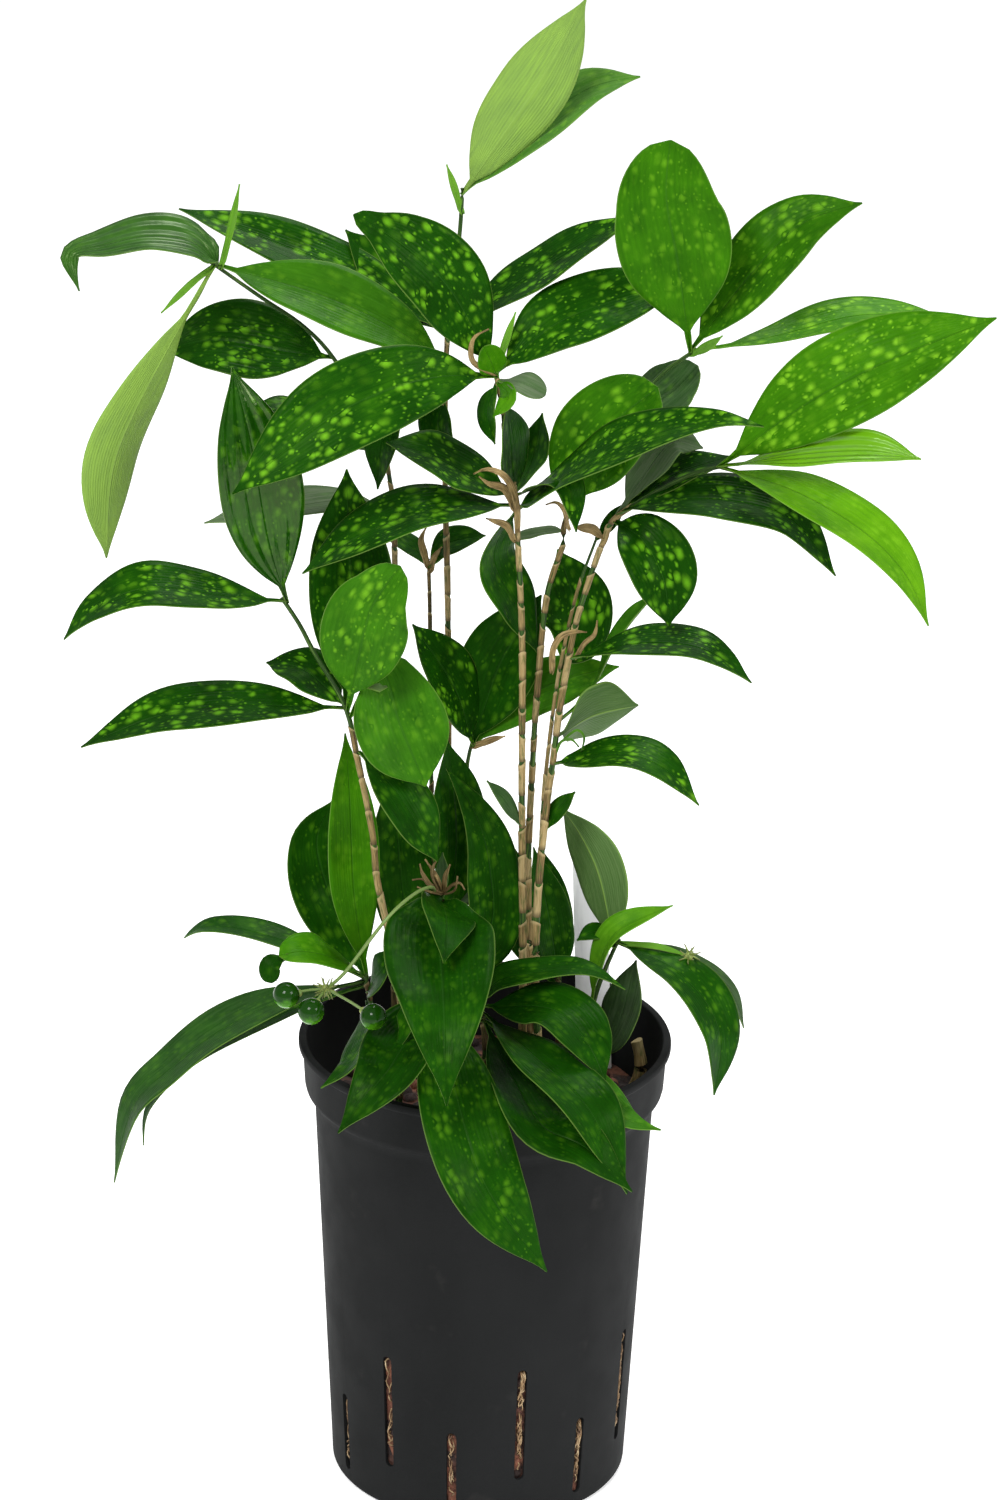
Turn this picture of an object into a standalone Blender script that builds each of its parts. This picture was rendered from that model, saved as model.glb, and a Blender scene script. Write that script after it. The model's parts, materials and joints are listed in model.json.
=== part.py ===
"""Potted gold dust dracaena: a slotted culture pot, its filling and the leafy stems that stand in it.

Every length is in millimetres and is turned into metres where a mesh is made.
The origin is the centre of the pot's underside, +Z is up and the front faces -Y.
"""

import math
import random
from typing import NamedTuple

import bmesh
import bpy
from mathutils import Vector

MM = 0.001

# Pot
POT_HEIGHT = 190.0
RIM_RADIUS = 75.0
BASE_RADIUS = 60.4
BODY_TOP_RADIUS = 68.5
BAND_TOP_RADIUS = 73.4
BAND_LOW_RADIUS = 72.4
BAND_HEIGHT = 23.0
BAND_BEVEL = 4.0
BAND_EDGE = 1.6
LIP_HEIGHT = 3.5
LIP_EDGE = 1.0
WALL = 1.6
FLOOR = 2.4
BASE_CORNER = 3.0
BASE_CORNER_ANGLES = (0, 30, 60, 90)
POT_SIDES = 36

# Slots in the pot's wall: high and low ones take turns
SLOT_COUNT = 14
SLOT_FIRST_ANGLE = -9.8
SLOT_WIDTH = 4.0
LOW_SLOT = (7.0, 42.0)
HIGH_SLOT = (20.0, 71.0)
SLOT_REACH = 12.0
SLOT_ARC = 4
DRAIN_RADIUS = 3.5
DRAIN_RING = 36.0
DRAIN_COUNT = 6

# Filling
GAP = 0.3
SOIL_TOP = 160.0
SOIL_SIDES = 32
SOIL_RINGS = 5
SOIL_RELIEF = 1.6
ROOTED = 20.0

# Blades
BLADE_THICKNESS = 0.8
BLADE_SEGMENTS = 7
SMALL_BLADE_SEGMENTS = 5
SMALL_BLADE_WIDTH = 20.5
PETIOLE_WIDTH = 2.6
TIP_WIDTH = 0.9
MIDRIB_STEPS = 60
TANGENT_STEP = 0.01
CANE_SIDES = 6
CANE_TAPER = 0.35
BAR_SIDES = 8

# The place from which the plant's outline was read, and the colours
VIEWPOINT = Vector((4.0, -1820.0, 1019.0))
LEAF_GREEN = (0.035, 0.16, 0.02)
CANE_TAN = (0.36, 0.24, 0.14)
BERRY_GREEN = (0.05, 0.18, 0.02)
POT_GREY = (0.035, 0.037, 0.04)
SOIL_BROWN = (0.06, 0.03, 0.02)
LABEL_WHITE = (0.8, 0.8, 0.8)
STUB_TAN = (0.35, 0.22, 0.13)

# A blade's width along its length, as parts of its greatest width
OUTLINE = (
    (0.0, 0.0),
    (0.06, 0.02),
    (0.16, 0.40),
    (0.28, 0.76),
    (0.40, 0.95),
    (0.52, 1.0),
    (0.64, 0.94),
    (0.76, 0.74),
    (0.87, 0.42),
    (0.94, 0.17),
    (1.0, 0.0),
)
OUTLINE_BELLY = 0.52


class Leaf(NamedTuple):
    """A blade. Its midrib's points are (across, height, depth), as sight() reads them.

    turn is the angle by which the upper face leans from the viewer to the sky, and fold the angle by
    which each half rises from the midrib. belly is the share of the length at which it is widest, and
    blunt how round its end is, from 0 for a pointed one to 1 for the end of an oval.
    """

    midrib: list
    width: float
    turn: float = 0.0
    fold: float = 10.0
    belly: float = 0.52
    blunt: float = 0.0


class Stem(NamedTuple):
    """A cane with its leaves. foot is its place (x, y) in the filling, and path reads as a midrib does."""

    foot: tuple
    path: list
    radius: float
    leaves: list


STEMS = {
    "stem_top": Stem(
        (-15, 20),
        [
            (-15, 205, 20), (-17, 359, 20), (-19, 424, 16), (-19, 478, 10),
            (-15, 519, 6), (-14, 537, 5), (-14, 540, 5),
        ],
        1.9,
        [
            Leaf([(-14, 537, 5), (0, 559, 0), (16, 584, -4), (31, 613, -8)], 29, 160),
            Leaf([(-14, 537, 5), (11, 563, 12), (33, 579, 16), (52, 584, 18)], 26, 43),
            Leaf([(-19, 482, 10), (-50, 503, 16), (-86, 518, 20), (-121, 530, 22)], 28, 48),
            Leaf([(-19, 482, 10), (-40, 503, 24), (-58, 523, 30)], 26, 35),
            Leaf([(-18, 484, 9), (12, 505, 18), (35, 521, 24), (53, 531, 28)], 28, 58),
            Leaf([(-19, 462, 12), (-40, 450, 10), (-45, 420, 8)], 20, 45),
            Leaf([(-19, 458, 13), (-22, 448, 12), (-21, 433, 12)], 18, 40),
            Leaf([(-14, 530, 5), (-17, 540, 3), (-20, 549, 2)], 3, 20),
        ],
    ),
    "stem_left": Stem(
        (-37, 34),
        [
            (-37, 248, 32), (-38, 387, 26), (-41, 428, 22), (-48, 448, 18),
            (-62, 472, 12), (-74, 485, 8), (-90, 496, 4), (-107, 508, 0), (-110, 510, 0),
        ],
        1.7,
        [
            Leaf(
                [
                    (-107, 508, 0), (-116, 517, -5), (-133, 519, -9),
                    (-150, 515, -14), (-162, 511, -18), (-159, 497, -22),
                ],
                24, 52, belly=0.32,
            ),
            Leaf([(-107, 508, 0), (-125, 476, -10), (-146, 431, -14), (-150, 390, -14)], 28, 135, belly=0.64),
            Leaf([(-107, 508, 0), (-67, 497, -6), (-37, 483, -10), (-20, 470, -8)], 30, 38),
            Leaf([(-62, 472, 12), (-80, 475, 18), (-106, 479, 22), (-128, 474, 24)], 35, 30),
            Leaf([(-39, 410, 24), (-58, 415, 20), (-87, 410, 12), (-112, 405, 6)], 24, 62),
            Leaf([(-43, 434, 21), (-63, 442, 16), (-81, 451, 10), (-99, 447, 6)], 22, 64),
            Leaf([(-105, 507, 0), (-101, 524, -3), (-98, 540, -5)], 3, 20),
            Leaf([(-107, 508, 0), (-115, 502, -4), (-128, 489, -8)], 3, 30),
        ],
    ),
    "stem_bent": Stem(
        (-34, -25),
        [
            (-34, 205, -26), (-39, 233, -28), (-44, 257, -29), (-46, 277, -30),
            (-52, 308, -30), (-57, 330, -30), (-69, 352, -30), (-75, 364, -30), (-82, 375, -30),
        ],
        2.0,
        [
            Leaf([(-80, 373, -30), (-87, 399, -34), (-93, 435, -36), (-101, 468, -32)], 33, 10),
            Leaf(
                [(-80, 373, -30), (-104, 375, -36), (-133, 378, -42), (-155, 369, -44), (-167, 356, -44)],
                28, 52,
            ),
            Leaf(
                [(-57, 329, -30), (-94, 330, -40), (-126, 326, -46), (-149, 317, -50), (-161, 311, -52)],
                28, 50,
            ),
            Leaf([(-57, 330, -30), (-73, 345, -24), (-88, 348, -18)], 24, 45),
            Leaf([(-57, 329, -30), (-55, 375, -20), (-56, 399, -16), (-57, 428, -12)], 33, 0),
            Leaf(
                [(-56, 329, -30), (-52, 350, -42), (-47, 371, -46), (-36, 389, -46)],
                34, 0, belly=0.6, blunt=0.8,
            ),
            Leaf([(-55, 326, -30), (-43, 345, -26), (-35, 322, -34), (-25, 297, -38)], 37, 10, belly=0.64),
            Leaf([(-52, 311, -30), (-36, 294, -36), (-20, 265, -40)], 26, 40),
        ],
    ),
    "stem_middle": Stem(
        (15, -8),
        [
            (15, 206, -8), (13, 292, -8), (12, 355, -8), (10, 392, -8), (8, 419, -8),
            (4, 441, -9), (3, 451, -9), (0, 467, -10), (0, 470, -10),
        ],
        2.0,
        [
            Leaf(
                [(0, 467, -10), (-18, 500, -20), (-37, 518, -24), (-55, 529, -26)],
                33, 20, belly=0.55, blunt=0.55,
            ),
            Leaf(
                [(0, 466, -10), (-21, 466, -24), (-42, 460, -36), (-67, 446, -46), (-101, 417, -54)],
                35, 15,
            ),
            Leaf([(0, 467, -10), (22, 487, -2), (47, 498, 6), (72, 505, 12)], 32, 35, belly=0.5),
            Leaf([(8, 418, -8), (6, 437, -12), (4, 455, -16)], 24, 58),
            Leaf([(8, 418, -8), (15, 434, 8), (18, 452, 14)], 18, 45),
            Leaf([(1, 464, -10), (-3, 452, -12), (0, 439, -14)], 12, 55),
            Leaf([(8, 417, -8), (-13, 428, -8), (-28, 435, -12), (-42, 439, -14)], 28, 50),
            Leaf([(9, 414, -8), (-21, 413, -20), (-48, 403, -30), (-74, 385, -34)], 30, 52),
            Leaf([(9, 414, -8), (0, 394, 0), (9, 374, 4), (18, 354, 5)], 24, 45),
            Leaf(
                [(9, 412, -8), (36, 432, -34), (63, 445, -46), (86, 450, -52), (103, 448, -56)],
                33, 57, belly=0.42,
            ),
            Leaf([(8, 418, -8), (27, 424, -26), (32, 404, -30)], 16, 50),
            Leaf([(1, 464, -10), (9, 464, -17), (19, 459, -20)], 12, 40, belly=0.65, blunt=1.0),
            Leaf([(0, 466, -10), (-2, 472, -14), (-5, 478, -18)], 12, 10, belly=0.5, blunt=1.0),
            Leaf([(0, 468, -10), (4, 482, -8), (7, 492, -6)], 3, 20),
            Leaf([(1, 464, -10), (5, 458, -22), (-1, 450, -26)], 8, 30),
            Leaf([(0, 467, -10), (-9, 472, -20), (-9, 481, -24), (-3, 485, -24)], 2.2, 20),
            Leaf([(13, 281, -8), (6, 292, -13), (-1, 300, -16)], 8, 30),
        ],
    ),
    "stem_right": Stem(
        (20, 4),
        [
            (18, 206, 2), (16, 262, 1), (17, 309, 0), (18, 334, 0), (21, 376, 0), (27, 399, 0),
            (28, 409, 1), (40, 438, 6), (61, 466, 8), (73, 476, 4), (76, 479, 4),
        ],
        1.9,
        [
            Leaf([(28, 409, 1), (31, 427, -8), (43, 446, -14), (62, 463, -18)], 36, 10, belly=0.6, blunt=1.0),
            Leaf([(46, 446, 7), (66, 460, 16), (77, 472, 18)], 30, 45, belly=0.6, blunt=0.9),
            Leaf(
                [(74, 477, 4), (68, 513, -6), (63, 538, -10), (64, 560, -10)],
                44, 0, belly=0.58, blunt=0.95,
            ),
            Leaf([(74, 477, 4), (94, 506, 10), (114, 528, 12), (137, 537, 10)], 30, 30),
            Leaf([(74, 477, 4), (106, 484, 16), (139, 493, 22), (172, 492, 26)], 26, 62, belly=0.62),
            Leaf([(74, 476, 4), (81, 480, -2), (86, 484, -4)], 4, 20),
            Leaf([(28, 404, 1), (21, 404, 8), (12, 402, 11), (3, 399, 9)], 8, 60),
        ],
    ),
    "stem_far_right": Stem(
        (24, -14),
        [
            (20, 206, -14), (20, 249, -14), (23, 292, -14), (25, 309, -14), (27, 330, -14), (30, 351, -14),
            (33, 368, -14), (40, 393, -14), (43, 401, -15), (48, 411, -16), (73, 427, -18), (88, 432, -20),
        ],
        2.0,
        [
            Leaf([(86, 431, -20), (117, 456, -24), (147, 474, -28), (190, 493, -36)], 38, 18),
            Leaf([(86, 431, -20), (117, 437, -36), (144, 439, -46), (164, 436, -52)], 26, 58, belly=0.6),
            Leaf(
                [(86, 431, -20), (114, 423, -40), (142, 407, -52), (160, 389, -58), (170, 368, -60)],
                28, 50,
            ),
            Leaf([(48, 411, -16), (60, 416, -22), (87, 418, -28), (114, 411, -32), (133, 388, -34)], 28, 50),
            Leaf([(48, 411, -16), (68, 427, -8), (92, 436, -2)], 24, 58),
            Leaf([(48, 411, -16), (58, 428, -4), (68, 441, 2), (80, 439, 4)], 20, 45, belly=0.6),
            Leaf([(46, 409, -15), (57, 402, -26), (66, 386, -32), (69, 366, -34)], 29, 15, 22),
            Leaf([(43, 401, -15), (38, 405, -15), (31, 406, -13)], 6, 50),
            Leaf([(27, 325, -14), (39, 338, -6), (50, 361, 0), (63, 379, 4)], 11, 62, 30, belly=0.75),
            Leaf([(30, 351, -14), (54, 358, -26), (77, 358, -36), (91, 352, -40), (102, 343, -42)], 26, 58),
            Leaf([(25, 307, -14), (51, 312, -24), (69, 306, -30), (83, 291, -34)], 26, 56, belly=0.46),
            Leaf([(27, 319, -14), (40, 328, -2), (58, 333, 4)], 34, 125),
            Leaf([(22, 279, -14), (28, 289, -12), (34, 296, -10)], 8, 30),
        ],
    ),
    "stem_short": Stem(
        (22, -6),
        [
            (18, 228, -6), (20, 249, -6), (21, 279, -6), (22, 301, -6),
            (25, 334, -6), (28, 355, -6), (33, 380, -4), (40, 402, -2),
        ],
        1.3,
        [
            Leaf([(27, 347, -6), (31, 360, 9), (32, 374, 13), (25, 397, 16)], 30, 20),
            Leaf([(40, 401, -2), (45, 408, 0), (50, 416, 4)], 6, 20),
        ],
    ),
    "stem_back": Stem(
        (-22, 32),
        [(-22, 248, 32), (-24, 359, 31), (-25, 390, 30), (-25, 392, 30)],
        1.6,
        [
            Leaf([(-25, 388, 30), (-31, 396, 36), (-44, 404, 39)], 12, 50),
            Leaf([(-25, 388, 30), (-18, 398, 28), (-3, 402, 26)], 16, 50),
            Leaf([(-25, 389, 30), (-24, 397, 33), (-20, 402, 36)], 8, 20),
        ],
    ),
    "stem_inner": Stem(
        (-8, 12),
        [(-11, 223, 11), (-10, 270, 10), (-9, 304, 8), (-7, 316, 8)],
        1.8,
        [
            Leaf([(-7, 314, 8), (-14, 338, 5), (-31, 365, 2)], 28, 42),
            Leaf([(-7, 314, 8), (10, 333, 14), (29, 343, 17), (50, 349, 18)], 24, 28),
            Leaf([(-7, 314, 8), (2, 345, 14), (10, 362, 15), (19, 378, 14)], 32, 10),
            Leaf([(-7, 314, 8), (0, 317, 4), (6, 319, 2)], 3, 20),
        ],
    ),
    "shoot_left": Stem(
        (-45, -12),
        [(-46, 200, -13), (-48, 212, -15), (-48, 216, -16)],
        2.0,
        [
            Leaf([(-48, 214, -15), (-53, 250, -16), (-55, 291, -14), (-57, 319, -10)], 22, 20),
            Leaf([(-48, 213, -15), (-62, 248, 4), (-68, 273, 8), (-61, 291, 12)], 32, 15),
            Leaf(
                [
                    (-48, 212, -15), (-80, 204, -28), (-106, 190, -34),
                    (-127, 172, -39), (-142, 155, -42), (-150, 121, -44),
                ],
                28, 58,
            ),
            Leaf(
                [(-48, 210, -14), (-74, 201, -8), (-115, 178, -16), (-135, 156, -20), (-138, 138, -22)],
                14, 64,
            ),
            Leaf(
                [(-48, 213, -15), (-75, 227, -2), (-97, 234, 4), (-112, 235, 6), (-121, 230, 8)],
                19, 62, belly=0.62, blunt=0.9,
            ),
            Leaf(
                [(-48, 214, -15), (-60, 222, -34), (-73, 225, -44), (-83, 223, -48)],
                22, 52, belly=0.62, blunt=1.0,
            ),
            Leaf([(-79, 223, -47), (-86, 219, -50), (-86, 211, -52)], 9, 20, belly=0.6, blunt=1.0),
            Leaf([(-47, 208, -14), (-43, 216, -30), (-36, 227, -36)], 16, 40),
            Leaf([(-47, 204, -14), (-47, 194, -36), (-53, 177, -60), (-66, 165, -70)], 18, 56),
        ],
    ),
    "shoot_centre": Stem(
        (-14, -9),
        [(-15, 205, -10), (-16, 232, -12), (-18, 248, -16), (-18, 251, -17)],
        2.0,
        [
            Leaf(
                [(-18, 248, -16), (-19, 232, -48), (-17, 205, -84), (-16, 181, -100), (-15, 158, -108)],
                44, 0, belly=0.38,
            ),
            Leaf([(-18, 248, -16), (-16, 238, -54), (-17, 221, -78)], 24, 10, belly=0.4),
            Leaf(
                [(-15, 212, -10), (1, 235, -4), (1, 262, -2), (-5, 285, -4), (-17, 305, -6)],
                26, 30, belly=0.4,
            ),
            Leaf([(-16, 238, -12), (-13, 262, -2), (-13, 287, 1), (-17, 317, 2)], 26, 30),
            Leaf([(-15, 214, -10), (-30, 235, 0), (-35, 265, 3), (-38, 306, 4)], 26, 15),
            Leaf([(-18, 254, -15), (-24, 258, -22), (-27, 265, -22)], 5, 20),
            Leaf([(-18, 252, -15), (-24, 255, -11), (-29, 252, -9)], 4, 20),
        ],
    ),
    "shoot_front": Stem(
        (0, -30),
        [(0, 186, -31), (-2, 202, -32), (-2, 204, -32)],
        2.0,
        [
            Leaf([(-1, 198, -32), (-14, 189, -52), (-10, 158, -84), (2, 121, -104), (27, 84, -100)], 34, 15),
            Leaf([(-1, 199, -32), (20, 181, -64), (43, 157, -92), (59, 120, -100)], 30, 40),
            Leaf([(-1, 196, -32), (12, 170, -62), (24, 150, -92), (42, 140, -102), (61, 121, -104)], 30, 35),
            Leaf([(-1, 196, -32), (31, 175, -50), (55, 155, -82), (72, 149, -86)], 24, 45),
            Leaf([(-2, 202, -32), (26, 202, -46), (40, 189, -60), (49, 170, -72)], 30, 42),
            Leaf(
                [(-2, 203, -32), (6, 214, -32), (28, 219, -32), (42, 219, -34), (56, 211, -38)],
                20, 60, belly=0.32,
            ),
            Leaf([(-1, 196, -32), (-27, 190, -56), (-40, 172, -86), (-59, 145, -98)], 32, 25, belly=0.46),
            Leaf([(-1, 200, -32), (-29, 200, -50), (-32, 191, -62), (-37, 179, -70)], 8, 30),
        ],
    ),
    "shoot_right": Stem(
        (40, -4),
        [(41, 186, -5), (44, 208, -5), (50, 226, -5), (53, 233, -5)],
        1.9,
        [
            Leaf([(43, 203, -5), (45, 219, -12), (52, 236, -15), (74, 248, -11)], 14, 45, 25, belly=0.56),
            Leaf([(51, 229, -5), (44, 236, -8), (36, 232, -10)], 9, 40),
            Leaf([(52, 231, -5), (78, 218, -22), (94, 194, -32), (93, 165, -34)], 26, 48),
            Leaf([(52, 231, -5), (82, 221, 0), (98, 210, 4), (104, 195, 4)], 18, 58),
            Leaf([(51, 229, -5), (45, 258, 1), (38, 275, 4), (29, 289, 6)], 24, 145),
            Leaf([(41, 184, -5), (49, 187, -8), (55, 200, -8), (60, 224, -4)], 21, 40),
            Leaf([(52, 231, -5), (68, 230, -10), (81, 226, -12)], 3, 30),
        ],
    ),
    "shoot_back": Stem(
        (30, 18),
        [(29, 208, 18), (29, 216, 19), (29, 219, 19)],
        1.8,
        [
            Leaf([(29, 215, 19), (25, 241, 15), (18, 272, 12)], 19, 20, belly=0.42),
            Leaf([(29, 212, 19), (27, 243, 26), (21, 272, 30)], 15, 25),
            Leaf([(29, 209, 19), (12, 244, 24), (8, 276, 26)], 24, 35),
        ],
    ),
}

# Berry spray: its stalk, its hub and its berries
SPRAY_PATH = [
    (-21, 250, -17),
    (-22, 254, -28),
    (-29, 251, -46),
    (-40, 240, -60),
    (-56, 217, -57),
    (-64, 209, -52),
]
SPRAY_RADIUS = 0.8
SPRAY_STEPS = 8
PEDICEL_RADIUS = 0.64
HUB_RADIUS = 2.6
BERRIES = [(-80, 206, -56), (-70, 199, -62), (-45, 197, -64)]
BERRY_RADIUS = 5.2

# Plain label and the cut stub of an old cane
LABEL_SIZE = (14.0, 0.8, 118.0)
LABEL_FOOT = (46.0, 36.0)
LABEL_LEAN = -2.5
STUB_PATH = [(59, 162, -6), (63, 176, -6), (61, 189, -6)]
STUB_RADIUS = 2.6

SEED = 7


def sight(across, height, depth):
    """The place of a point read in the upright plane through the axis, moved along its line of sight."""
    read = Vector((across, 0.0, height))
    way = read - VIEWPOINT
    return VIEWPOINT + way * ((depth - VIEWPOINT.y) / way.y)


def curve_point(points, share):
    """A point of the smooth curve through the points, at a share of their count."""
    place = min(share, 0.9999) * (len(points) - 1)
    index = int(place)
    step = place - index
    before = points[max(index - 1, 0)]
    start = points[index]
    end = points[index + 1]
    after = points[min(index + 2, len(points) - 1)]
    rise = (end - before) * 0.5
    fall = (after - start) * 0.5
    cubic = start * (2 * step**3 - 3 * step**2 + 1) + end * (3 * step**2 - 2 * step**3)
    return cubic + rise * (step**3 - 2 * step**2 + step) + fall * (step**3 - step**2)


def outline_width(share, leaf):
    """The blade's half width at a share of its length."""
    place = share ** (math.log(OUTLINE_BELLY) / math.log(leaf.belly))
    for (start, low), (end, high) in zip(OUTLINE, OUTLINE[1:]):
        if place <= end:
            part = low + (high - low) * (place - start) / (end - start)
            break
    if share > leaf.belly:
        beyond = (share - leaf.belly) / (1.0 - leaf.belly)
        part = max(part, leaf.blunt * math.sqrt(max(1.0 - beyond**2, 0.0)))
    least = PETIOLE_WIDTH if share < 0.5 else TIP_WIDTH
    return 0.5 * max(part * leaf.width, min(least, leaf.width))


def even_shares(points, count):
    """Shares that divide the curve into stretches of one length."""
    fine = [index / MIDRIB_STEPS for index in range(MIDRIB_STEPS + 1)]
    places = [curve_point(points, share) for share in fine]
    lengths = [0.0]
    for start, end in zip(places, places[1:]):
        lengths.append(lengths[-1] + (end - start).length)
    shares = []
    for index in range(count + 1):
        wanted = lengths[-1] * index / count
        after = next(spot for spot, length in enumerate(lengths) if length >= wanted - 1e-9)
        if after == 0:
            shares.append(0.0)
            continue
        part = (wanted - lengths[after - 1]) / (lengths[after] - lengths[after - 1])
        shares.append(fine[after - 1] + (fine[after] - fine[after - 1]) * part)
    return shares


def blade_face(points, turn):
    """The way that the blade's upper face looks, before it is squared to the midrib."""
    chord = points[-1] - points[0]
    toward = (VIEWPOINT - points[len(points) // 2]).normalized()
    upward = chord.cross(toward).normalized()
    if upward.z < 0:
        upward.negate()
    return toward * math.cos(math.radians(turn)) + upward * math.sin(math.radians(turn))


def blade_mesh(leaf):
    """A closed blade: a grid laid along the midrib, cut to the outline and given its thickness."""
    points = [sight(*point) for point in leaf.midrib]
    small = leaf.width < SMALL_BLADE_WIDTH
    segments = SMALL_BLADE_SEGMENTS if small else BLADE_SEGMENTS
    columns = 1 if small else 2
    shares = even_shares(points, segments)
    face = blade_face(points, leaf.turn)
    fold = math.radians(leaf.fold)
    bm = bmesh.new()
    bmesh.ops.create_grid(bm, x_segments=columns, y_segments=segments, size=1.0)
    lift = {}
    for vert in bm.verts:
        row = round((vert.co.y + 1) * 0.5 * segments)
        side = round(vert.co.x)
        share = shares[row]
        place = curve_point(points, share)
        ahead = curve_point(points, min(share + TANGENT_STEP, 1.0))
        behind = curve_point(points, max(share - TANGENT_STEP, 0.0))
        along = (ahead - behind).normalized()
        normal = (face - along * face.dot(along)).normalized()
        across = along.cross(normal)
        half = outline_width(row / segments, leaf)
        place += across * (side * half * math.cos(fold)) + normal * (abs(side) * half * math.sin(fold))
        vert.co = (place - normal * (BLADE_THICKNESS * 0.5)) * MM
        lift[vert.index] = normal * BLADE_THICKNESS * MM
    bmesh.ops.triangulate(bm, faces=bm.faces, quad_method="FIXED")
    low = list(bm.verts)
    copied = bmesh.ops.extrude_face_region(bm, geom=bm.faces[:], use_keep_orig=True)
    high = [item for item in copied["geom"] if isinstance(item, bmesh.types.BMVert)]
    for vert, start in zip(high, low):
        vert.co += lift[start.index]
    bmesh.ops.recalc_face_normals(bm, faces=bm.faces)
    mesh = bpy.data.meshes.new("blade")
    bm.to_mesh(mesh)
    bm.free()
    return mesh


def material(name, colour, roughness):
    made = bpy.data.materials.new(name)
    made.use_nodes = True
    shader = made.node_tree.nodes["Principled BSDF"]
    shader.inputs["Base Color"].default_value = (*colour, 1.0)
    shader.inputs["Roughness"].default_value = roughness
    shader.inputs["Metallic"].default_value = 0.0
    return made


def add_object(name, mesh, look=None):
    thing = bpy.data.objects.new(name, mesh)
    bpy.context.scene.collection.objects.link(thing)
    if look is not None:
        mesh.materials.clear()
        mesh.materials.append(look)
    return thing


def tube_mesh(points, radii, sides):
    """A closed round bar through the points."""
    bm = bmesh.new()
    rings = []
    for index, place in enumerate(points):
        before = points[max(index - 1, 0)]
        after = points[min(index + 1, len(points) - 1)]
        turned = (after - before).to_track_quat("Z", "Y")
        ring = bmesh.ops.create_circle(bm, segments=sides, radius=radii[index] * MM, cap_ends=False)["verts"]
        for vert in ring:
            vert.co = turned @ vert.co + place * MM
        rings.append(ring)
    for low, high in zip(rings, rings[1:]):
        edges = [edge for edge in bm.edges if edge.verts[0] in low and edge.verts[1] in low]
        edges += [edge for edge in bm.edges if edge.verts[0] in high and edge.verts[1] in high]
        bmesh.ops.bridge_loops(bm, edges=edges)
    bm.faces.new(rings[0])
    bm.faces.new(rings[-1])
    bmesh.ops.recalc_face_normals(bm, faces=bm.faces)
    mesh = bpy.data.meshes.new("tube")
    bm.to_mesh(mesh)
    bm.free()
    return mesh


def is_closed(mesh):
    bm = bmesh.new()
    bm.from_mesh(mesh)
    closed = len(bm.verts) > 0 and all(edge.is_manifold for edge in bm.edges)
    bm.free()
    return closed


def keep_largest(mesh):
    """Drops the loose scraps that a cut or a union leaves beside the body."""
    bm = bmesh.new()
    bm.from_mesh(mesh)
    waiting = set(bm.faces)
    bodies = []
    while waiting:
        body = set()
        front = [waiting.pop()]
        while front:
            face = front.pop()
            body.add(face)
            for edge in face.edges:
                for near in edge.link_faces:
                    if near in waiting:
                        waiting.remove(near)
                        front.append(near)
        bodies.append(body)
    bodies.sort(key=len)
    scraps = [face for body in bodies[:-1] for face in body]
    bmesh.ops.delete(bm, geom=scraps, context="FACES")
    bm.to_mesh(mesh)
    bm.free()


def combine(target, others, operation):
    """One Boolean of the target with all the others, which are then removed."""
    group = bpy.data.collections.new("operands")
    bpy.context.scene.collection.children.link(group)
    for other in others:
        bpy.context.scene.collection.objects.unlink(other)
        group.objects.link(other)
    modifier = target.modifiers.new("combine", "BOOLEAN")
    modifier.operation = operation
    modifier.operand_type = "COLLECTION"
    modifier.collection = group
    for solver in ("EXACT", "MANIFOLD"):
        modifier.solver = solver
        view = bpy.context.evaluated_depsgraph_get()
        result = bpy.data.meshes.new_from_object(target.evaluated_get(view))
        if is_closed(result):
            break
    target.modifiers.clear()
    keep_largest(result)
    target.data = result
    for other in list(group.objects):
        bpy.data.objects.remove(other)
    bpy.data.collections.remove(group)


def shade(thing, angle=40.0):
    thing.data.shade_smooth()
    thing.data.set_sharp_from_angle(angle=math.radians(angle))


def turned_mesh(profile, sides):
    """A closed turned body from a profile of (radius, height) that starts and ends on the axis."""
    bm = bmesh.new()
    verts = [bm.verts.new((radius * MM, 0.0, height * MM)) for radius, height in profile]
    edges = [bm.edges.new(pair) for pair in zip(verts, verts[1:])]
    bmesh.ops.spin(
        bm, geom=verts + edges, axis=(0, 0, 1), cent=(0, 0, 0),
        angle=math.tau, steps=sides, use_merge=True, use_duplicate=False,
    )
    bmesh.ops.remove_doubles(bm, verts=bm.verts, dist=0.00001)
    bmesh.ops.recalc_face_normals(bm, faces=bm.faces)
    mesh = bpy.data.meshes.new("turned")
    bm.to_mesh(mesh)
    bm.free()
    return mesh


def body_radius(height):
    """The outer radius of the pot's tapered body at a height."""
    share = height / (POT_HEIGHT - BAND_HEIGHT)
    return BASE_RADIUS + (BODY_TOP_RADIUS - BASE_RADIUS) * share


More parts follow.
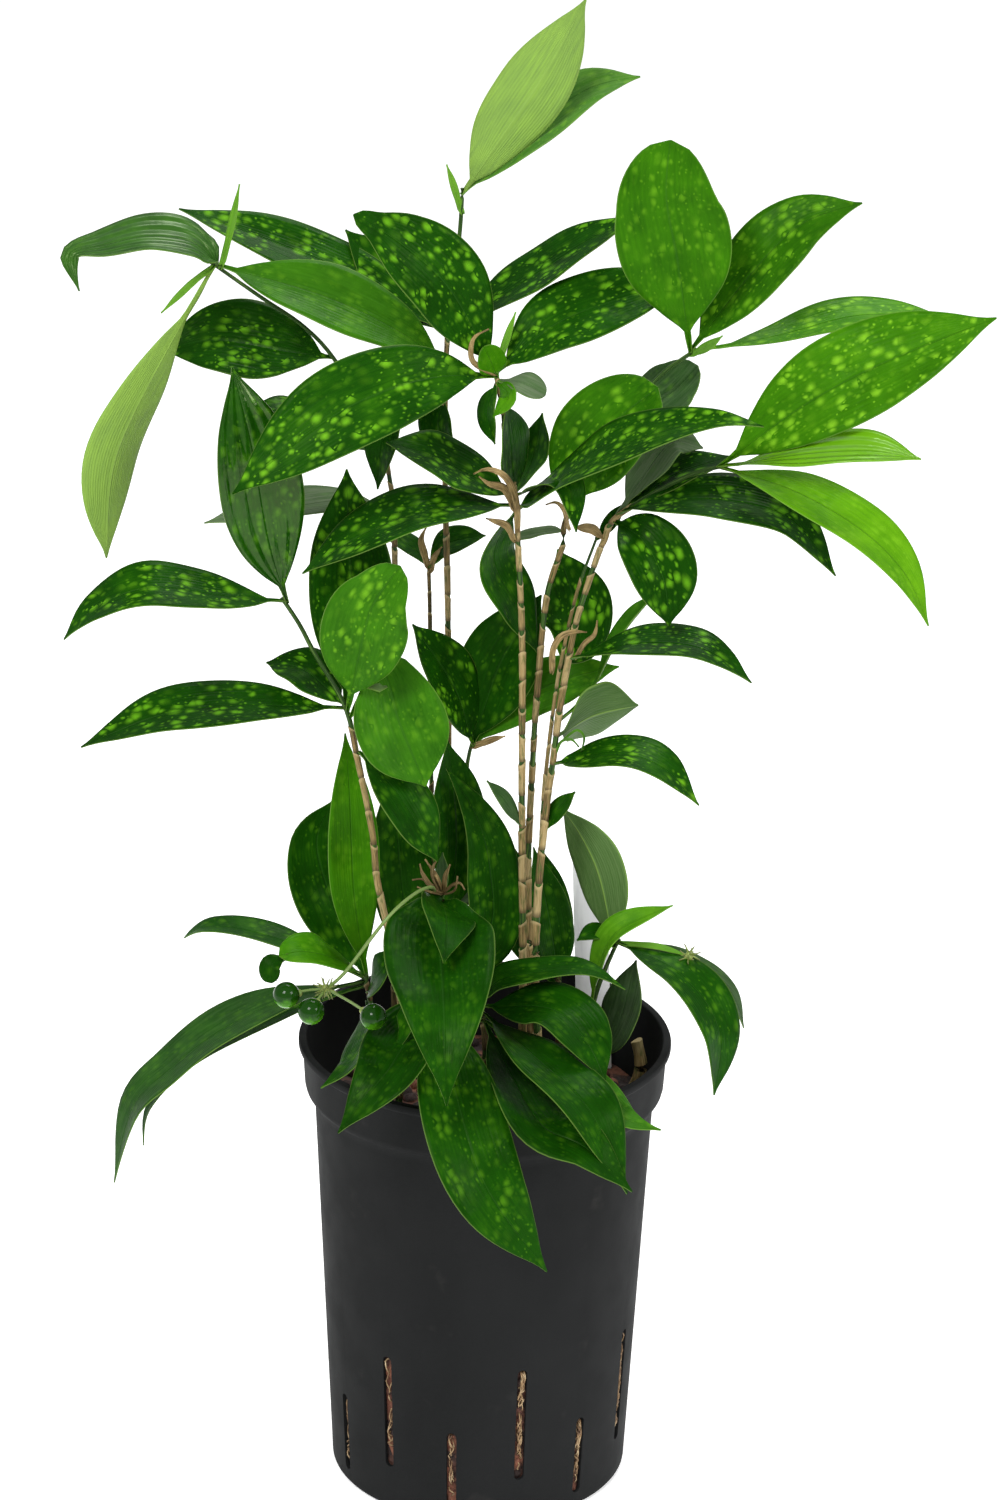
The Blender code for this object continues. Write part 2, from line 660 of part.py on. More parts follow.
def pot_profile():
    """The pot's section: from the flat underside up the outside, over the rim and down to the floor."""
    band_low = POT_HEIGHT - BAND_HEIGHT
    lip_low = POT_HEIGHT - LIP_HEIGHT
    inner_band = BAND_LOW_RADIUS - WALL
    inner_foot = body_radius(FLOOR + BASE_CORNER) - WALL
    corner = []
    for angle in BASE_CORNER_ANGLES:
        bend = math.radians(angle)
        across = BASE_RADIUS - BASE_CORNER + BASE_CORNER * math.sin(bend)
        corner.append((across, BASE_CORNER - BASE_CORNER * math.cos(bend)))
    outside = [
        (body_radius(band_low - BAND_BEVEL), band_low - BAND_BEVEL),
        (BAND_LOW_RADIUS - BAND_EDGE, band_low + LIP_EDGE),
        (BAND_LOW_RADIUS, band_low + BAND_BEVEL),
        (BAND_TOP_RADIUS, lip_low),
        (RIM_RADIUS, lip_low + LIP_EDGE),
        (RIM_RADIUS, POT_HEIGHT - LIP_EDGE),
        (RIM_RADIUS - LIP_EDGE, POT_HEIGHT),
    ]
    inside = [
        (BAND_TOP_RADIUS - WALL, POT_HEIGHT),
        (inner_band, band_low + BAND_BEVEL + LIP_EDGE),
        (body_radius(band_low - BAND_BEVEL) - WALL, band_low - BAND_BEVEL + LIP_EDGE),
        (inner_foot, FLOOR + BASE_CORNER),
        (inner_foot - BASE_CORNER, FLOOR),
        (0.0, FLOOR),
    ]
    return [(0.0, 0.0)] + corner + outside + inside


def slot_cutter(index):
    """A bar with round ends that cuts one slot through the wall."""
    low, high = LOW_SLOT if index % 2 == 0 else HIGH_SLOT
    angle = math.radians(SLOT_FIRST_ANGLE + index * 360.0 / SLOT_COUNT)
    half = SLOT_WIDTH * 0.5
    bm = bmesh.new()
    outline = []
    for step in range(SLOT_ARC + 1):
        bend = math.pi * step / SLOT_ARC
        outline.append((half * math.cos(bend), high - half + half * math.sin(bend)))
    for step in range(SLOT_ARC + 1):
        bend = math.pi * (1 + step / SLOT_ARC)
        outline.append((half * math.cos(bend), low + half + half * math.sin(bend)))
    near = BASE_RADIUS - SLOT_REACH * 0.5
    verts = [bm.verts.new((across * MM, -near * MM, height * MM)) for across, height in outline]
    face = bm.faces.new(verts)
    pushed = bmesh.ops.extrude_face_region(bm, geom=[face], use_keep_orig=True)
    for item in pushed["geom"]:
        if isinstance(item, bmesh.types.BMVert):
            item.co.y -= SLOT_REACH * 1.5 * MM
    bmesh.ops.recalc_face_normals(bm, faces=bm.faces)
    mesh = bpy.data.meshes.new("slot")
    bm.to_mesh(mesh)
    bm.free()
    cutter = add_object("slot_cutter", mesh)
    cutter.rotation_euler.z = angle
    return cutter


def rod_cutter(name, x, y, low, high, radius):
    mesh = tube_mesh([Vector((x, y, low)), Vector((x, y, high))], [radius, radius], BAR_SIDES)
    return add_object(name, mesh)


def make_pot():
    pot = add_object("pot", turned_mesh(pot_profile(), POT_SIDES), material("pot_plastic", POT_GREY, 0.35))
    cutters = [slot_cutter(index) for index in range(SLOT_COUNT)]
    for index in range(DRAIN_COUNT):
        angle = math.tau * index / DRAIN_COUNT
        x = DRAIN_RING * math.cos(angle)
        y = DRAIN_RING * math.sin(angle)
        cutters.append(rod_cutter("drain_cutter", x, y, -2.0, FLOOR + 2.0, DRAIN_RADIUS))
    combine(pot, cutters, "DIFFERENCE")
    shade(pot)


def make_substrate():
    """The filling, with a relief of granules on top and a plain hole for each stem."""
    draw = random.Random(SEED)
    corner = body_radius(FLOOR + BASE_CORNER) - WALL - GAP * 2
    side = [
        (corner - BASE_CORNER, FLOOR + GAP),
        (corner, FLOOR + BASE_CORNER + GAP),
        (body_radius(SOIL_TOP) - WALL - GAP * 2, SOIL_TOP),
    ]
    top_radius = side[-1][0]
    top = [(top_radius * (1 - ring / SOIL_RINGS), SOIL_TOP) for ring in range(1, SOIL_RINGS + 1)]
    mesh = turned_mesh([(0.0, FLOOR + GAP)] + side + top, SOIL_SIDES)
    for vert in mesh.vertices:
        inner = math.hypot(vert.co.x, vert.co.y) < (top_radius - 1.0) * MM
        if inner and vert.co.z > (SOIL_TOP - 1.0) * MM:
            vert.co.z += draw.uniform(-SOIL_RELIEF, 0.0) * MM
    soil = add_object("substrate", mesh, material("clay_granules", SOIL_BROWN, 0.9))
    holes = []
    for stem in STEMS.values():
        x, y = stem.foot
        low = SOIL_TOP - ROOTED - GAP
        holes.append(rod_cutter("hole", x, y, low, SOIL_TOP + 5.0, stem.radius + GAP))
    foot = sight(*STUB_PATH[0])
    holes.append(rod_cutter("hole", foot.x, foot.y, SOIL_TOP - ROOTED, SOIL_TOP + 5.0, STUB_RADIUS + GAP * 2))
    holes.append(label_body("label_hole", GAP))
    combine(soil, holes, "DIFFERENCE")


def cane_points(stem):
    """The stem's way: straight through the filling, then through the path's points."""
    x, y = stem.foot
    low = Vector((x, y, SOIL_TOP - ROOTED))
    level = Vector((x, y, SOIL_TOP + 3.0))
    path = [level] + [sight(*point) for point in stem.path]
    return [low] + path


def make_stem(name, stem, leaf_look, cane_look):
    points = cane_points(stem)
    radii = [stem.radius * (1.0 - CANE_TAPER * index / (len(points) - 1)) for index in range(len(points))]
    cane = add_object(name, tube_mesh(points, radii, CANE_SIDES), cane_look)
    cane.data.materials.append(leaf_look)
    blades = [add_object("blade", blade_mesh(leaf), leaf_look) for leaf in stem.leaves]
    combine(cane, blades, "UNION")
    shade(cane, 60.0)


def make_berry_spray():
    look = material("berry_skin", BERRY_GREEN, 0.3)
    path = [sight(*point) for point in SPRAY_PATH]
    stalk_points = [curve_point(path, index / SPRAY_STEPS) for index in range(SPRAY_STEPS + 1)]
    stalk_radii = [SPRAY_RADIUS] * len(stalk_points)
    stalk = add_object("berry_spray", tube_mesh(stalk_points, stalk_radii, CANE_SIDES), look)
    others = []
    hub = path[-1]
    others.append(add_ball(hub, HUB_RADIUS, 1))
    for berry in BERRIES:
        centre = sight(*berry)
        others.append(add_ball(centre, BERRY_RADIUS, 2))
        others.append(add_object("pedicel", tube_mesh([hub, centre], [PEDICEL_RADIUS] * 2, CANE_SIDES)))
    combine(stalk, others, "UNION")
    shade(stalk)


def add_ball(centre, radius, subdivisions):
    bm = bmesh.new()
    bmesh.ops.create_icosphere(bm, subdivisions=subdivisions, radius=radius * MM)
    bmesh.ops.translate(bm, verts=bm.verts, vec=centre * MM)
    mesh = bpy.data.meshes.new("ball")
    bm.to_mesh(mesh)
    bm.free()
    return add_object("ball", mesh)


def label_body(name, growth):
    """The label's plate, grown on every side for its slot in the filling."""
    width, thickness, height = LABEL_SIZE
    bm = bmesh.new()
    bmesh.ops.create_cube(bm, size=1.0)
    scale = Vector((width + growth * 2, thickness + growth * 2, height + growth * 2)) * MM
    bmesh.ops.scale(bm, verts=bm.verts, vec=scale)
    bmesh.ops.translate(bm, verts=bm.verts, vec=(0.0, 0.0, height * 0.5 * MM))
    mesh = bpy.data.meshes.new(name)
    bm.to_mesh(mesh)
    bm.free()
    plate = add_object(name, mesh)
    plate.location = (LABEL_FOOT[0] * MM, LABEL_FOOT[1] * MM, (SOIL_TOP - ROOTED) * MM)
    plate.rotation_euler.y = math.radians(LABEL_LEAN)
    return plate


def make_label():
    plate = label_body("label", 0.0)
    plate.data.materials.append(material("label_plastic", LABEL_WHITE, 0.5))


def make_stub():
    path = [sight(*point) for point in STUB_PATH]
    foot = Vector((path[0].x, path[0].y, SOIL_TOP - ROOTED + GAP))
    level = Vector((path[0].x, path[0].y, SOIL_TOP + 1.0))
    points = [foot, level] + path[1:]
    stub = add_object("cane_stub", tube_mesh(points, [STUB_RADIUS] * len(points), BAR_SIDES))
    stub.data.materials.append(material("cane_stub_bark", STUB_TAN, 0.7))
    shade(stub)


def main():
    for thing in list(bpy.data.objects):
        bpy.data.objects.remove(thing)
    make_pot()
    make_substrate()
    leaf_look = material("leaf", LEAF_GREEN, 0.35)
    cane_look = material("cane", CANE_TAN, 0.6)
    for name, stem in STEMS.items():
        make_stem(name, stem, leaf_look, cane_look)
    make_berry_spray()
    make_label()
    make_stub()


main()
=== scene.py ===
"""Potted gold dust dracaena: the finely modelled plant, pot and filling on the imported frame, with its stage."""

import json
import math
import random
from typing import NamedTuple

import bmesh
import bpy
from bpy.props import FloatProperty, FloatVectorProperty, IntProperty, PointerProperty
from mathutils import Matrix, Vector

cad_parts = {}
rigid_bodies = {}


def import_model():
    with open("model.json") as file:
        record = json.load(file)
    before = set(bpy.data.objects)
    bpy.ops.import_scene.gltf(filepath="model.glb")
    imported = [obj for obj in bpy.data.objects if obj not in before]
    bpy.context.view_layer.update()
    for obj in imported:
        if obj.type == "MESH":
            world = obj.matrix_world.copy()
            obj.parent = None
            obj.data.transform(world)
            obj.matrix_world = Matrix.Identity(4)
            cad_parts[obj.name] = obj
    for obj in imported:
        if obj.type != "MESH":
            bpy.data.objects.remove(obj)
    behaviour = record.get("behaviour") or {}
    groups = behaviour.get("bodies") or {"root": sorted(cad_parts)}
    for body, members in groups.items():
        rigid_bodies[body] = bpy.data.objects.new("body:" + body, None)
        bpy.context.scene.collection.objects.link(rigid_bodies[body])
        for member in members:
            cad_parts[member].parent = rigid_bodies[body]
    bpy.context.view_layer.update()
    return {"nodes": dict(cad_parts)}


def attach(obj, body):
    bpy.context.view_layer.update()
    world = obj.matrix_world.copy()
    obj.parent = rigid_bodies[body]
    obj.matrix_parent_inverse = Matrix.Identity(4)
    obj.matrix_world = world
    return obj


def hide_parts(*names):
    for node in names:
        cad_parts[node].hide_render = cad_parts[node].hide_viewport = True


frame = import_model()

bl_info = {
    "name": "Potted Dracaena",
    "version": (1, 0, 0),
    "blender": (4, 5, 0),
    "location": "3D View > Sidebar > Plant",
    "description": "Builds a potted gold dust dracaena in a slotted culture pot",
    "category": "Add Mesh",
}

MM = 0.001

# Pot
POT_HEIGHT = 190.0
RIM_RADIUS = 75.0
BASE_RADIUS = 60.4
BODY_TOP_RADIUS = 68.5
BAND_TOP_RADIUS = 73.4
BAND_LOW_RADIUS = 72.4
BAND_HEIGHT = 23.0
BAND_BEVEL = 4.0
BAND_EDGE = 1.6
LIP_HEIGHT = 3.5
LIP_EDGE = 1.0
WALL = 1.6
FLOOR = 2.4
BASE_CORNER = 3.0
CORNER_STEPS = 6
POT_SIDES = 144
POT_GLOSS = 0.045

# Slots in the pot's wall: high and low ones take turns
SLOT_COUNT = 14
SLOT_FIRST_ANGLE = -9.8
SLOT_WIDTH = 4.0
LOW_SLOT = (7.0, 42.0)
HIGH_SLOT = (20.0, 71.0)
SLOT_REACH = 12.0
SLOT_ARC = 10
DRAIN_RADIUS = 3.5
DRAIN_RING = 36.0
DRAIN_COUNT = 6

# Filling
SOIL_TOP = 160.0
SOIL_EDGE = 63.0
ROOTED = 20.0
GRANULE_COUNT = 170
GRANULE_RADII = (3.0, 5.0)
ROOT_COUNT = 16
ROOT_RADII = (0.2, 0.36)

# Blades
BLADE_THICKNESS = 0.4
BLADE_ROWS = 36
BLADE_COLUMNS = 12
PETIOLE_WIDTH = 2.6
TIP_WIDTH = 0.6
PETIOLE_FOLD = 62.0
PETIOLE_SHARE = 0.13
WAVE = 0.018
MIDRIB_STEPS = 60
TANGENT_STEP = 0.01
LEAF_GLOSS = 0.04
SHEEN_GLOSS = 0.34
DRY_GLOSS = 0.12
BERRY_GLOSS = 0.16
LEAF_GLINT = (0.85, 1.0, 0.55, 1.0)
PLEATS = 16.0

# Canes
CANE_TAPER = 0.46
CORE_SHARE = 0.78
SHEATH_LENGTHS = (16.0, 8.5)
SHEATH_GAP = 0.9
SHEATH_SLANT = 1.3
BARE_CHANCE = 0.3
BARE_LENGTHS = (2.0, 6.5)

# The place from which the plant's outline was read
VIEWPOINT = Vector((4.0, -1820.0, 1019.0))

# The camera: its place is the viewpoint, and it looks down on the plant
CAMERA_PITCH = 21.2
CAMERA_ROLL = 1.02
CAMERA_LENS = 119.04
CAMERA_SENSOR = 36.0

# A blade's width along its length, as parts of its greatest width
OUTLINE = (
    (0.0, 0.0),
    (0.06, 0.02),
    (0.16, 0.40),
    (0.28, 0.76),
    (0.40, 0.95),
    (0.52, 1.0),
    (0.64, 0.94),
    (0.76, 0.74),
    (0.87, 0.42),
    (0.94, 0.17),
    (1.0, 0.0),
)
OUTLINE_BELLY = 0.52


class Look(NamedTuple):
    """How a blade looks: from deep green (0) to lime (1), its share of spots, of grey sheen painted into its colour,
    and its roughness.
    """

    tone: float
    spots: float
    grey: float = 0.0
    rough: float = 0.34
    skin: str = "leaf"


LOOKS = {
    "deep": Look(0.22, 0.16),
    "dark": Look(0.26, 0.28),
    "dark_matt": Look(0.2, 0.1, 0.4, 0.45),
    "grey_dark": Look(0.25, 0.3, 0.35, 0.4),
    "dusky": Look(0.27, 0.15, 0.16, 0.34),
    "glossy": Look(0.32, 0.35, 0.0, 0.14, "sheen"),
    "arched": Look(0.4, 0.1, 0.12, 0.3, "sheen"),
    "spotted": Look(0.25, 0.9),
    "mid_spotted": Look(0.42, 0.7),
    "big_spotted": Look(0.3, 1.0, 0.0, 0.4),
    "mottled": Look(0.3, 0.35, 0.0, 0.34),
    "veined": Look(0.48, 0.4, 0.0, 0.4),
    "fresh": Look(0.52, 0.25, 0.04),
    "fresh_spotted": Look(0.5, 0.65, 0.03),
    "bright": Look(0.62, 0.2),
    "bright_spotted": Look(0.62, 1.0),
    "lime": Look(0.84, 0.3),
    "lime_glossy": Look(1.0, 0.1, 0.0, 0.18, "sheen"),
    "pale": Look(0.72, 0.5, 0.35),
    "yellow": Look(0.7, 0.2, 0.05),
    "grey": Look(0.4, 0.2, 0.95, 0.4),
    "under_bright": Look(0.9, 0.0),
    "under_grey": Look(0.3, 0.0),
    "bract_green": Look(0.9, 0.0, 0.3, 0.5),
    "bract": Look(0.1, 0.0, 0.0, 0.7, "papery"),
    "bract_brown": Look(0.55, 0.0, 0.0, 0.7, "papery"),
}
# The first of the two skins of each kind of blade, in its piece's list
SKINS = {"leaf": 0, "papery": 2, "sheen": 4}


class Leaf(NamedTuple):
    """A blade. Its midrib's points are (across, height, depth), as sight() reads them.

    turn is the angle by which the upper face leans from the viewer to the sky, and fold the angle by
    which each half rises from the midrib. belly is the share of the length at which it is widest, and
    blunt how round its end is, from 0 for a pointed one to 1 for the end of an oval.
    """

    midrib: list
    width: float
    look: str
    turn: float = 0.0
    fold: float = 10.0
    belly: float = 0.52
    blunt: float = 0.0


class Stem(NamedTuple):
    """A cane with its leaves. foot is its place (x, y) in the filling, and path reads as a midrib does."""

    foot: tuple
    path: list
    radius: float
    leaves: list


STEMS = {
    "stem_top": Stem(
        (-15, 20),
        [(-15, 205, 20), (-17, 359, 20), (-19, 424, 16), (-19, 478, 10), (-15, 519, 6), (-14, 537, 5), (-14, 540, 5)],
        1.9,
        [
            Leaf([(-14, 537, 5), (0, 559, 0), (16, 584, -4), (31, 613, -8)], 29, "under_bright", 160),
            Leaf([(-14, 537, 5), (11, 563, 12), (33, 579, 16), (52, 584, 18)], 26, "pale", 43),
            Leaf([(-19, 482, 10), (-50, 503, 16), (-86, 518, 20), (-121, 530, 22)], 28, "spotted", 48),
            Leaf([(-19, 482, 10), (-40, 503, 24), (-58, 523, 30)], 26, "dark", 35),
            Leaf([(-18, 484, 9), (12, 505, 18), (35, 521, 24), (53, 531, 28)], 28, "spotted", 58),
            Leaf([(-19, 462, 12), (-40, 450, 10), (-45, 420, 8)], 20, "dark", 45),
            Leaf([(-19, 458, 13), (-22, 448, 12), (-21, 433, 12)], 18, "dark", 40),
            Leaf([(-14, 530, 5), (-17, 540, 3), (-20, 549, 2)], 3, "bract_green", 20),
        ],
    ),
    "stem_left": Stem(
        (-37, 34),
        [
            (-37, 248, 32), (-38, 387, 26), (-41, 428, 22), (-48, 448, 18),
            (-62, 472, 12), (-74, 485, 8), (-90, 496, 4), (-107, 508, 0), (-110, 510, 0),
        ],
        1.7,
        [
            Leaf(
                [(-107, 508, 0), (-116, 517, -5), (-133, 519, -9), (-150, 515, -14), (-162, 511, -18), (-159, 497, -22)],
                24, "arched", 52, belly=0.32,
            ),
            Leaf(
                [(-107, 508, 0), (-125, 476, -10), (-146, 431, -14), (-150, 390, -14)],
                28, "under_bright", 135, belly=0.64,
            ),
            Leaf([(-107, 508, 0), (-67, 497, -6), (-37, 483, -10), (-20, 470, -8)], 30, "fresh", 38),
            Leaf([(-62, 472, 12), (-80, 475, 18), (-106, 479, 22), (-128, 474, 24)], 35, "spotted", 30),
            Leaf([(-39, 410, 24), (-58, 415, 20), (-87, 410, 12), (-112, 405, 6)], 24, "grey", 62),
            Leaf([(-43, 434, 21), (-63, 442, 16), (-81, 451, 10), (-99, 447, 6)], 22, "spotted", 64),
            Leaf([(-105, 507, 0), (-101, 524, -3), (-98, 540, -5)], 3, "bract_green", 20),
            Leaf([(-107, 508, 0), (-115, 502, -4), (-128, 489, -8)], 3, "bract_green", 30),
        ],
    ),
    "stem_bent": Stem(
        (-34, -25),
        [
            (-34, 205, -26), (-39, 233, -28), (-44, 257, -29), (-46, 277, -30),
            (-52, 308, -30), (-57, 330, -30), (-69, 352, -30), (-75, 364, -30), (-82, 375, -30),
        ],
        2.0,
        [
            Leaf([(-80, 373, -30), (-87, 399, -34), (-93, 435, -36), (-101, 468, -32)], 33, "glossy", 10),
            Leaf(
                [(-80, 373, -30), (-104, 375, -36), (-133, 378, -42), (-155, 369, -44), (-167, 356, -44)],
                28, "spotted", 52,
            ),
            Leaf(
                [(-57, 329, -30), (-94, 330, -40), (-126, 326, -46), (-149, 317, -50), (-161, 311, -52)],
                28, "spotted", 50,
            ),
            Leaf([(-57, 330, -30), (-73, 345, -24), (-88, 348, -18)], 24, "spotted", 45),
            Leaf([(-57, 329, -30), (-55, 375, -20), (-56, 399, -16), (-57, 428, -12)], 33, "spotted", 0),
            Leaf(
                [(-56, 329, -30), (-52, 350, -42), (-47, 371, -46), (-36, 389, -46)],
                34, "fresh_spotted", 0, belly=0.6, blunt=0.8,
            ),
            Leaf([(-55, 326, -30), (-43, 345, -26), (-35, 322, -34), (-25, 297, -38)], 37, "fresh", 10, belly=0.64),
            Leaf([(-52, 311, -30), (-36, 294, -36), (-20, 265, -40)], 26, "dark", 40),
        ],
    ),
    "stem_middle": Stem(
        (15, -8),
        [
            (15, 206, -8), (13, 292, -8), (12, 355, -8), (10, 392, -8), (8, 419, -8),
            (4, 441, -9), (3, 451, -9), (0, 467, -10), (0, 470, -10),
        ],
        2.0,
        [
            Leaf(
                [(0, 467, -10), (-18, 500, -20), (-37, 518, -24), (-55, 529, -26)],
                33, "spotted", 20, belly=0.55, blunt=0.55,
            ),
            Leaf(
                [(0, 466, -10), (-21, 466, -24), (-42, 460, -36), (-67, 446, -46), (-101, 417, -54)],
                35, "big_spotted", 15,
            ),
            Leaf([(0, 467, -10), (22, 487, -2), (47, 498, 6), (72, 505, 12)], 32, "spotted", 35, belly=0.5),
            Leaf([(8, 418, -8), (6, 437, -12), (4, 455, -16)], 24, "dark", 58),
            Leaf([(8, 418, -8), (15, 434, 8), (18, 452, 14)], 18, "dark", 45),
            Leaf([(1, 464, -10), (-3, 452, -12), (0, 439, -14)], 12, "dark", 55),
            Leaf([(8, 417, -8), (-13, 428, -8), (-28, 435, -12), (-42, 439, -14)], 28, "spotted", 50),
            Leaf([(9, 414, -8), (-21, 413, -20), (-48, 403, -30), (-74, 385, -34)], 30, "spotted", 52),
            Leaf([(9, 414, -8), (0, 394, 0), (9, 374, 4), (18, 354, 5)], 24, "dark", 45),
            Leaf(
                [(9, 412, -8), (36, 432, -34), (63, 445, -46), (86, 450, -52), (103, 448, -56)],
                33, "big_spotted", 57, belly=0.42,
            ),
            Leaf([(8, 418, -8), (27, 424, -26), (32, 404, -30)], 16, "spotted", 50),
            Leaf([(9, 404, -9), (9, 413, -14), (7, 421, -20), (3, 427, -24), (-3, 429, -22), (-8, 427, -18)], 3, "bract", 20),
            Leaf([(8, 412, -9), (4, 421, -16), (-2, 423, -18), (-6, 426, -18)], 3.4, "bract", 20),
            Leaf([(8, 400, -9), (5, 406, -14), (0, 408, -16), (-3, 409, -14)], 3, "bract", 20),
            Leaf([(1, 464, -10), (9, 464, -17), (19, 459, -20)], 12, "grey", 40, belly=0.65, blunt=1.0),
            Leaf([(0, 466, -10), (-2, 472, -14), (-5, 478, -18)], 12, "bright", 10, belly=0.5, blunt=1.0),
            Leaf([(0, 468, -10), (4, 482, -8), (7, 492, -6)], 3, "bract_green", 20),
            Leaf([(1, 464, -10), (5, 458, -22), (-1, 450, -26)], 8, "bright", 30),
            Leaf([(0, 467, -10), (-9, 472, -20), (-9, 481, -24), (-3, 485, -24)], 2.2, "bract", 20),
            Leaf([(29, 405, -6), (28, 409, -12), (27, 413, -16), (24, 416, -18), (20, 415, -16)], 2.0, "bract", 20),
            Leaf([(13, 281, -8), (6, 292, -13), (-1, 300, -16)], 7, "dark_matt", 30),
        ],
    ),
    "stem_right": Stem(
        (20, 4),
        [
            (18, 206, 2), (16, 262, 1), (17, 309, 0), (18, 334, 0), (21, 376, 0), (27, 399, 0),
            (28, 409, 1), (40, 438, 6), (61, 466, 8), (73, 476, 4), (76, 479, 4),
        ],
        1.9,
        [
            Leaf(
                [(28, 409, 1), (31, 427, -8), (43, 446, -14), (62, 463, -18)],
                36, "mid_spotted", 10, belly=0.6, blunt=1.0,
            ),
            Leaf([(46, 446, 7), (66, 460, 16), (77, 472, 18)], 30, "grey_dark", 45, belly=0.6, blunt=0.9),
            Leaf(
                [(74, 477, 4), (68, 513, -6), (63, 538, -10), (64, 560, -10)],
                44, "veined", 0, belly=0.58, blunt=0.95,
            ),
            Leaf([(74, 477, 4), (94, 506, 10), (114, 528, 12), (137, 537, 10)], 30, "mid_spotted", 30),
            Leaf(
                [(74, 477, 4), (106, 484, 16), (139, 493, 22), (172, 492, 26)],
                26, "bright_spotted", 62, belly=0.62,
            ),
            Leaf([(74, 476, 4), (81, 480, -2), (86, 484, -4)], 4, "bract_green", 20),
            Leaf([(28, 404, 1), (21, 404, 8), (12, 402, 11), (3, 399, 9)], 8, "grey", 60),
        ],
    ),
    "stem_far_right": Stem(
        (24, -14),
        [
            (20, 206, -14), (20, 249, -14), (23, 292, -14), (25, 309, -14), (27, 330, -14), (30, 351, -14),
            (33, 368, -14), (40, 393, -14), (43, 401, -15), (48, 411, -16), (73, 427, -18), (88, 432, -20),
        ],
        2.0,
        [
            Leaf(
                [(86, 431, -20), (117, 456, -24), (147, 474, -28), (190, 493, -36)],
                38, "bright_spotted", 18,
            ),
            Leaf(
                [(86, 431, -20), (117, 437, -36), (144, 439, -46), (164, 436, -52)],
                26, "lime_glossy", 58, belly=0.6,
            ),
            Leaf(
                [(86, 431, -20), (114, 423, -40), (142, 407, -52), (160, 389, -58), (170, 368, -60)],
                28, "lime", 50,
            ),
            Leaf(
                [(48, 411, -16), (60, 416, -22), (87, 418, -28), (114, 411, -32), (133, 388, -34)],
                28, "spotted", 50,
            ),
            Leaf([(48, 411, -16), (68, 427, -8), (92, 436, -2)], 24, "spotted", 58),
            Leaf([(48, 411, -16), (58, 428, -4), (68, 441, 2), (80, 439, 4)], 20, "grey", 45, belly=0.6),
            Leaf([(46, 409, -15), (57, 402, -26), (66, 386, -32), (69, 366, -34)], 29, "spotted", 15, 22),
            Leaf([(43, 401, -15), (38, 405, -15), (31, 406, -13)], 6, "bract", 50),
            Leaf(
                [(27, 325, -14), (39, 338, -6), (50, 361, 0), (63, 379, 4)],
                11, "fresh", 62, 30, belly=0.75,
            ),
            Leaf(
                [(30, 351, -14), (54, 358, -26), (77, 358, -36), (91, 352, -40), (102, 343, -42)],
                26, "spotted", 58,
            ),
            Leaf(
                [(25, 307, -14), (51, 312, -24), (69, 306, -30), (83, 291, -34)],
                26, "spotted", 56, belly=0.46,
            ),
            Leaf([(27, 319, -14), (40, 328, -2), (58, 333, 4)], 34, "under_grey", 125),
            Leaf([(22, 279, -14), (28, 289, -12), (34, 296, -10)], 8, "dark", 30),
            Leaf([(24, 346, -15), (24, 355, -20), (27, 361, -22), (32, 363, -22), (37, 363, -18)], 2.6, "bract", 20),
            Leaf([(33, 352, -14), (36, 358, -16), (40, 362, -16), (41, 368, -14)], 2.0, "bract", 20),
            Leaf([(26, 312, -14), (28, 317, -18), (32, 318, -20), (35, 315, -18)], 1.1, "pale", 20),
            Leaf([(29, 318, -14), (34, 322, -16), (37, 319, -16), (36, 313, -14)], 1.0, "pale", 20),
        ],
    ),
    "stem_short": Stem(
        (22, -6),
        [(18, 228, -6), (20, 249, -6), (21, 279, -6), (22, 301, -6), (25, 334, -6), (28, 355, -6), (33, 380, -4), (40, 402, -2)],
        1.3,
        [
            Leaf([(27, 347, -6), (31, 360, 9), (32, 374, 13), (25, 397, 16)], 30, "spotted", 20),
            Leaf([(40, 401, -2), (45, 408, 0), (50, 416, 4)], 6, "dark", 20),
        ],
    ),
    "stem_back": Stem(
        (-22, 32),
        [(-22, 248, 32), (-24, 359, 31), (-25, 390, 30), (-25, 392, 30)],
        1.6,
        [
            Leaf([(-25, 388, 30), (-31, 396, 36), (-44, 404, 39)], 12, "dark", 50),
            Leaf([(-25, 388, 30), (-18, 398, 28), (-3, 402, 26)], 16, "dark", 50),
            Leaf([(-25, 388, 30), (-27, 395, 26), (-28, 400, 24), (-26, 405, 24)], 3, "bract", 20),
            Leaf([(-24, 387, 30), (-23, 392, 27), (-20, 397, 25)], 2.6, "bract", 20),
        ],
    ),
    "stem_inner": Stem(
        (-8, 12),
        [(-11, 223, 11), (-10, 270, 10), (-9, 304, 8), (-7, 316, 8)],
        1.8,
        [
            Leaf([(-7, 314, 8), (-14, 338, 5), (-31, 365, 2)], 28, "spotted", 42),
            Leaf([(-7, 314, 8), (10, 333, 14), (29, 343, 17), (50, 349, 18)], 24, "fresh", 28),
            Leaf([(-7, 314, 8), (2, 345, 14), (10, 362, 15), (19, 378, 14)], 32, "dark", 10),
            Leaf([(-7, 314, 8), (0, 317, 4), (6, 319, 2)], 3, "bract", 20),
        ],
    ),
    "shoot_left": Stem(
        (-45, -12),
        [(-46, 200, -13), (-48, 212, -15), (-48, 216, -16)],
        2.0,
        [
            Leaf([(-48, 214, -15), (-53, 250, -16), (-55, 291, -14), (-57, 319, -10)], 22, "bright", 20),
            Leaf([(-48, 213, -15), (-62, 248, 4), (-68, 273, 8), (-61, 291, 12)], 32, "dark", 15),
            Leaf(
